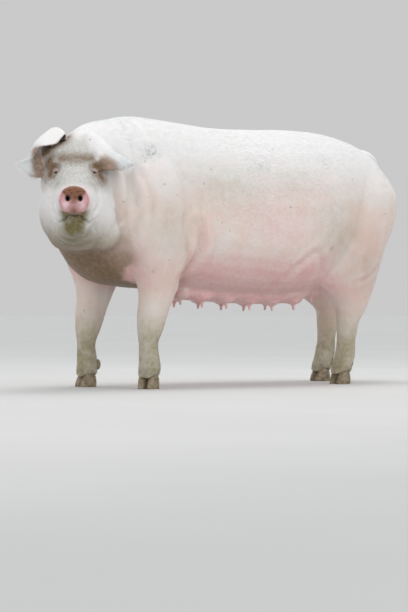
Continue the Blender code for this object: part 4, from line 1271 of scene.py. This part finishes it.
skin = makeSkin()
points = pointsOf(skin)
points = spread(points, edgesOf(skin), 44, allowed=allowedRounds(points))
setPoints(skin, points)
say("skin smoothed")
points = creased(points, normalsOf(skin), flankLines(skinTree(points)))
setPoints(skin, points)
points = wrinkled(points, normalsOf(skin))
setPoints(skin, points)
say("flanks creased")
makeSparser(skin)
say(f"skin made sparser: {len(skin.data.polygons)} faces")
for nearEyes, nearMouth, nearDisc in finer:
    points = pointsOf(skin)
    makeFiner(skin, (eyeRange(points) < nearEyes) | (lineRange(points, mouthLine()) < nearMouth)
              | (headSizes(points)[:, 0] > nearDisc))
say(f"face made finer: {len(skin.data.polygons)} faces")
points = pointsOf(skin)
edges = edgesOf(skin)
fixed = np.where(eyeRange(points) < 0.045, 5, np.where(headSizes(points)[:, 0] > 0.30, 2, 0))
points = spread(points, edges, 5, allowed=fixed)
setPoints(skin, points)
points = creased(points, normalsOf(skin), faceLines(skinTree(points)))
points = spread(points, edges, 2, allowed=np.where(lineRange(points, mouthLine()) < 0.014, 2, 0))
points = sculptDisc(points)
points = sculptEyes(points)
setPoints(skin, points)
say("skin sculpted")

labels = nodeLabels(points)
isEar = np.char.startswith(np.array(fleshNodes)[labels], "ear").astype(float)
isEar = spread(isEar[:, None], edges, 4)[:, 0]
depth = skinSizes["depth"] * (1 - isEar) + skinSizes["earDepth"] * isEar
depth *= 1 - soft(eyeRange(points), 0.024, 0.018)
depth *= 1 - soft(headSizes(points)[:, 0], 0.330, 0.342)
smoothNormals = unit(spread(normalsOf(skin), edges, 3))
points = points - smoothNormals * depth[:, None]
low, high = (np.array(v) for v in cadBox)
points = np.clip(points, low + skinSizes["edge"], high - skinSizes["edge"])
setPoints(skin, points)
normals = normalsOf(skin)
lie = unit(spread(lieOf(points, labels), edges, 12))
marks = [spread(values, edges, 2) for values in markings(points, normals, labels)]
for name, values in zip(markNames, marks):
    setAttribute(skin, name, values)
say("skin marked")
unwrap(skin)
say("skin unwrapped")
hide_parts(*fleshNodes)
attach(skin, "root")
skin.data.shade_smooth()

markGroup = markingsGroup()
lineGroup = streaksGroup()
skin.data.materials.clear()
skin.data.materials.append(skinMaterial(markGroup, lineGroup))
hairs = coatMaterial(markGroup)
growTufts("coat", coat, coatDensity(), hairs)
growTufts("fringe", fringe, fringeDensity(), hairs)
growTufts("lashes", lashes, lashDensity(), hairs)

eyeballs = eyeMaterial()
for side in ("left", "right"):
    makeEye(side, eyeballs)
horn = hoofMaterial()
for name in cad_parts:
    if name.startswith(("hoof", "dewclaw")):
        makeClaw(name, horn)
say("eyes and claws made")


# Stage, light and camera

stage = {
    "radius": 60,
    "floor": (0.58, 0.58, 0.57, 1),
    "floorPale": (0.60, 0.60, 0.59, 1),
    "shine": (0.97, 0.985, 1.0, 1),  # what the world lights with
    "behind": (0.60, 0.60, 0.60, 1),  # what the camera sees of it
    "strength": 0.98,
}
warmLight = (1.0, 0.98, 0.95)
lamps = {  # place, what it shines at, its size across, watts, colour and the width of its beam in degrees
    "top": ((0.4, 0.2, 4.4), (0, 0, 0.5), 2.4, 55, (1.0, 0.995, 0.98), 180),
    "front": ((-4.8, -3.6, 1.5), (-0.3, 0, 0.35), 2.0, 9.6, warmLight, 90),
    "side": ((1.2, -5.4, 1.5), (0, 0, 0.3), 2.0, 7.7, warmLight, 90),
}


# A wide pale floor. The camera sees the world darker than it shines, so that white hair stands out.
def makeStage():
    bpy.ops.mesh.primitive_circle_add(vertices=96, radius=stage["radius"], fill_type="NGON")
    floor = bpy.context.view_layer.objects.active
    floor.name = "floor"
    material, g, shader = newMaterial("paleFloor")
    shade = g.ramp(g.noise(g.place(), 1.2, 2.0, 0.5), 0.3, 0.7, 0.0, 1.0)
    g.link(g.mix(shade, stage["floor"], stage["floorPale"]), shader.inputs["Base Color"])
    shader.inputs["Roughness"].default_value = 0.9
    floor.data.materials.append(material)
    world = bpy.data.worlds.new("world")
    world.use_nodes = True
    g = Graph(world.node_tree)
    shine = world.node_tree.nodes["Background"]
    seen = g.mix(g.add("ShaderNodeLightPath").outputs["Is Camera Ray"], stage["shine"], stage["behind"])
    g.link(seen, shine.inputs["Color"])
    shine.inputs["Strength"].default_value = stage["strength"]
    bpy.context.scene.world = world


# The photo's view: degrees round her, metres, and the focal length and her middle in pixels of its frame
view = {"turn": 38.0, "distance": 8.5, "focal": 2405.0, "height": 0.28, "across": 218.5, "frame": (408, 612)}


def makeCamera():
    a = math.radians(view["turn"])
    back = np.array([-math.sin(a), -math.cos(a), 0])
    right = np.array([math.cos(a), -math.sin(a), 0])
    place = shift + back * view["distance"]
    place = place - right * ((view["across"] - view["frame"][0] / 2) / view["focal"] * view["distance"])
    place = place + np.array([0, 0, view["height"]])
    data = bpy.data.cameras.new("camera")
    data.sensor_width = 36
    data.lens = view["focal"] / view["frame"][1] * data.sensor_width
    data.clip_end = 100
    camera = addObject("camera", data)
    camera.location = place
    camera.rotation_euler = Vector(-back).to_track_quat("-Z", "Y").to_euler()
    bpy.context.scene.camera = camera


def addLamp(name, place, aim, size, power, colour, beam):
    data = bpy.data.lights.new(name, "AREA")
    data.spread = math.radians(beam)
    data.shape = "DISK"
    data.size = size
    data.energy = power
    data.color = colour
    light = addObject(name, data)
    light.location = place
    light.rotation_euler = (Vector(aim) - Vector(place)).to_track_quat("-Z", "Y").to_euler()


makeStage()
makeCamera()
bpy.context.scene.view_settings.view_transform = "Standard"
for name, lamp in lamps.items():
    addLamp(name, *lamp)

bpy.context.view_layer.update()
say("done")
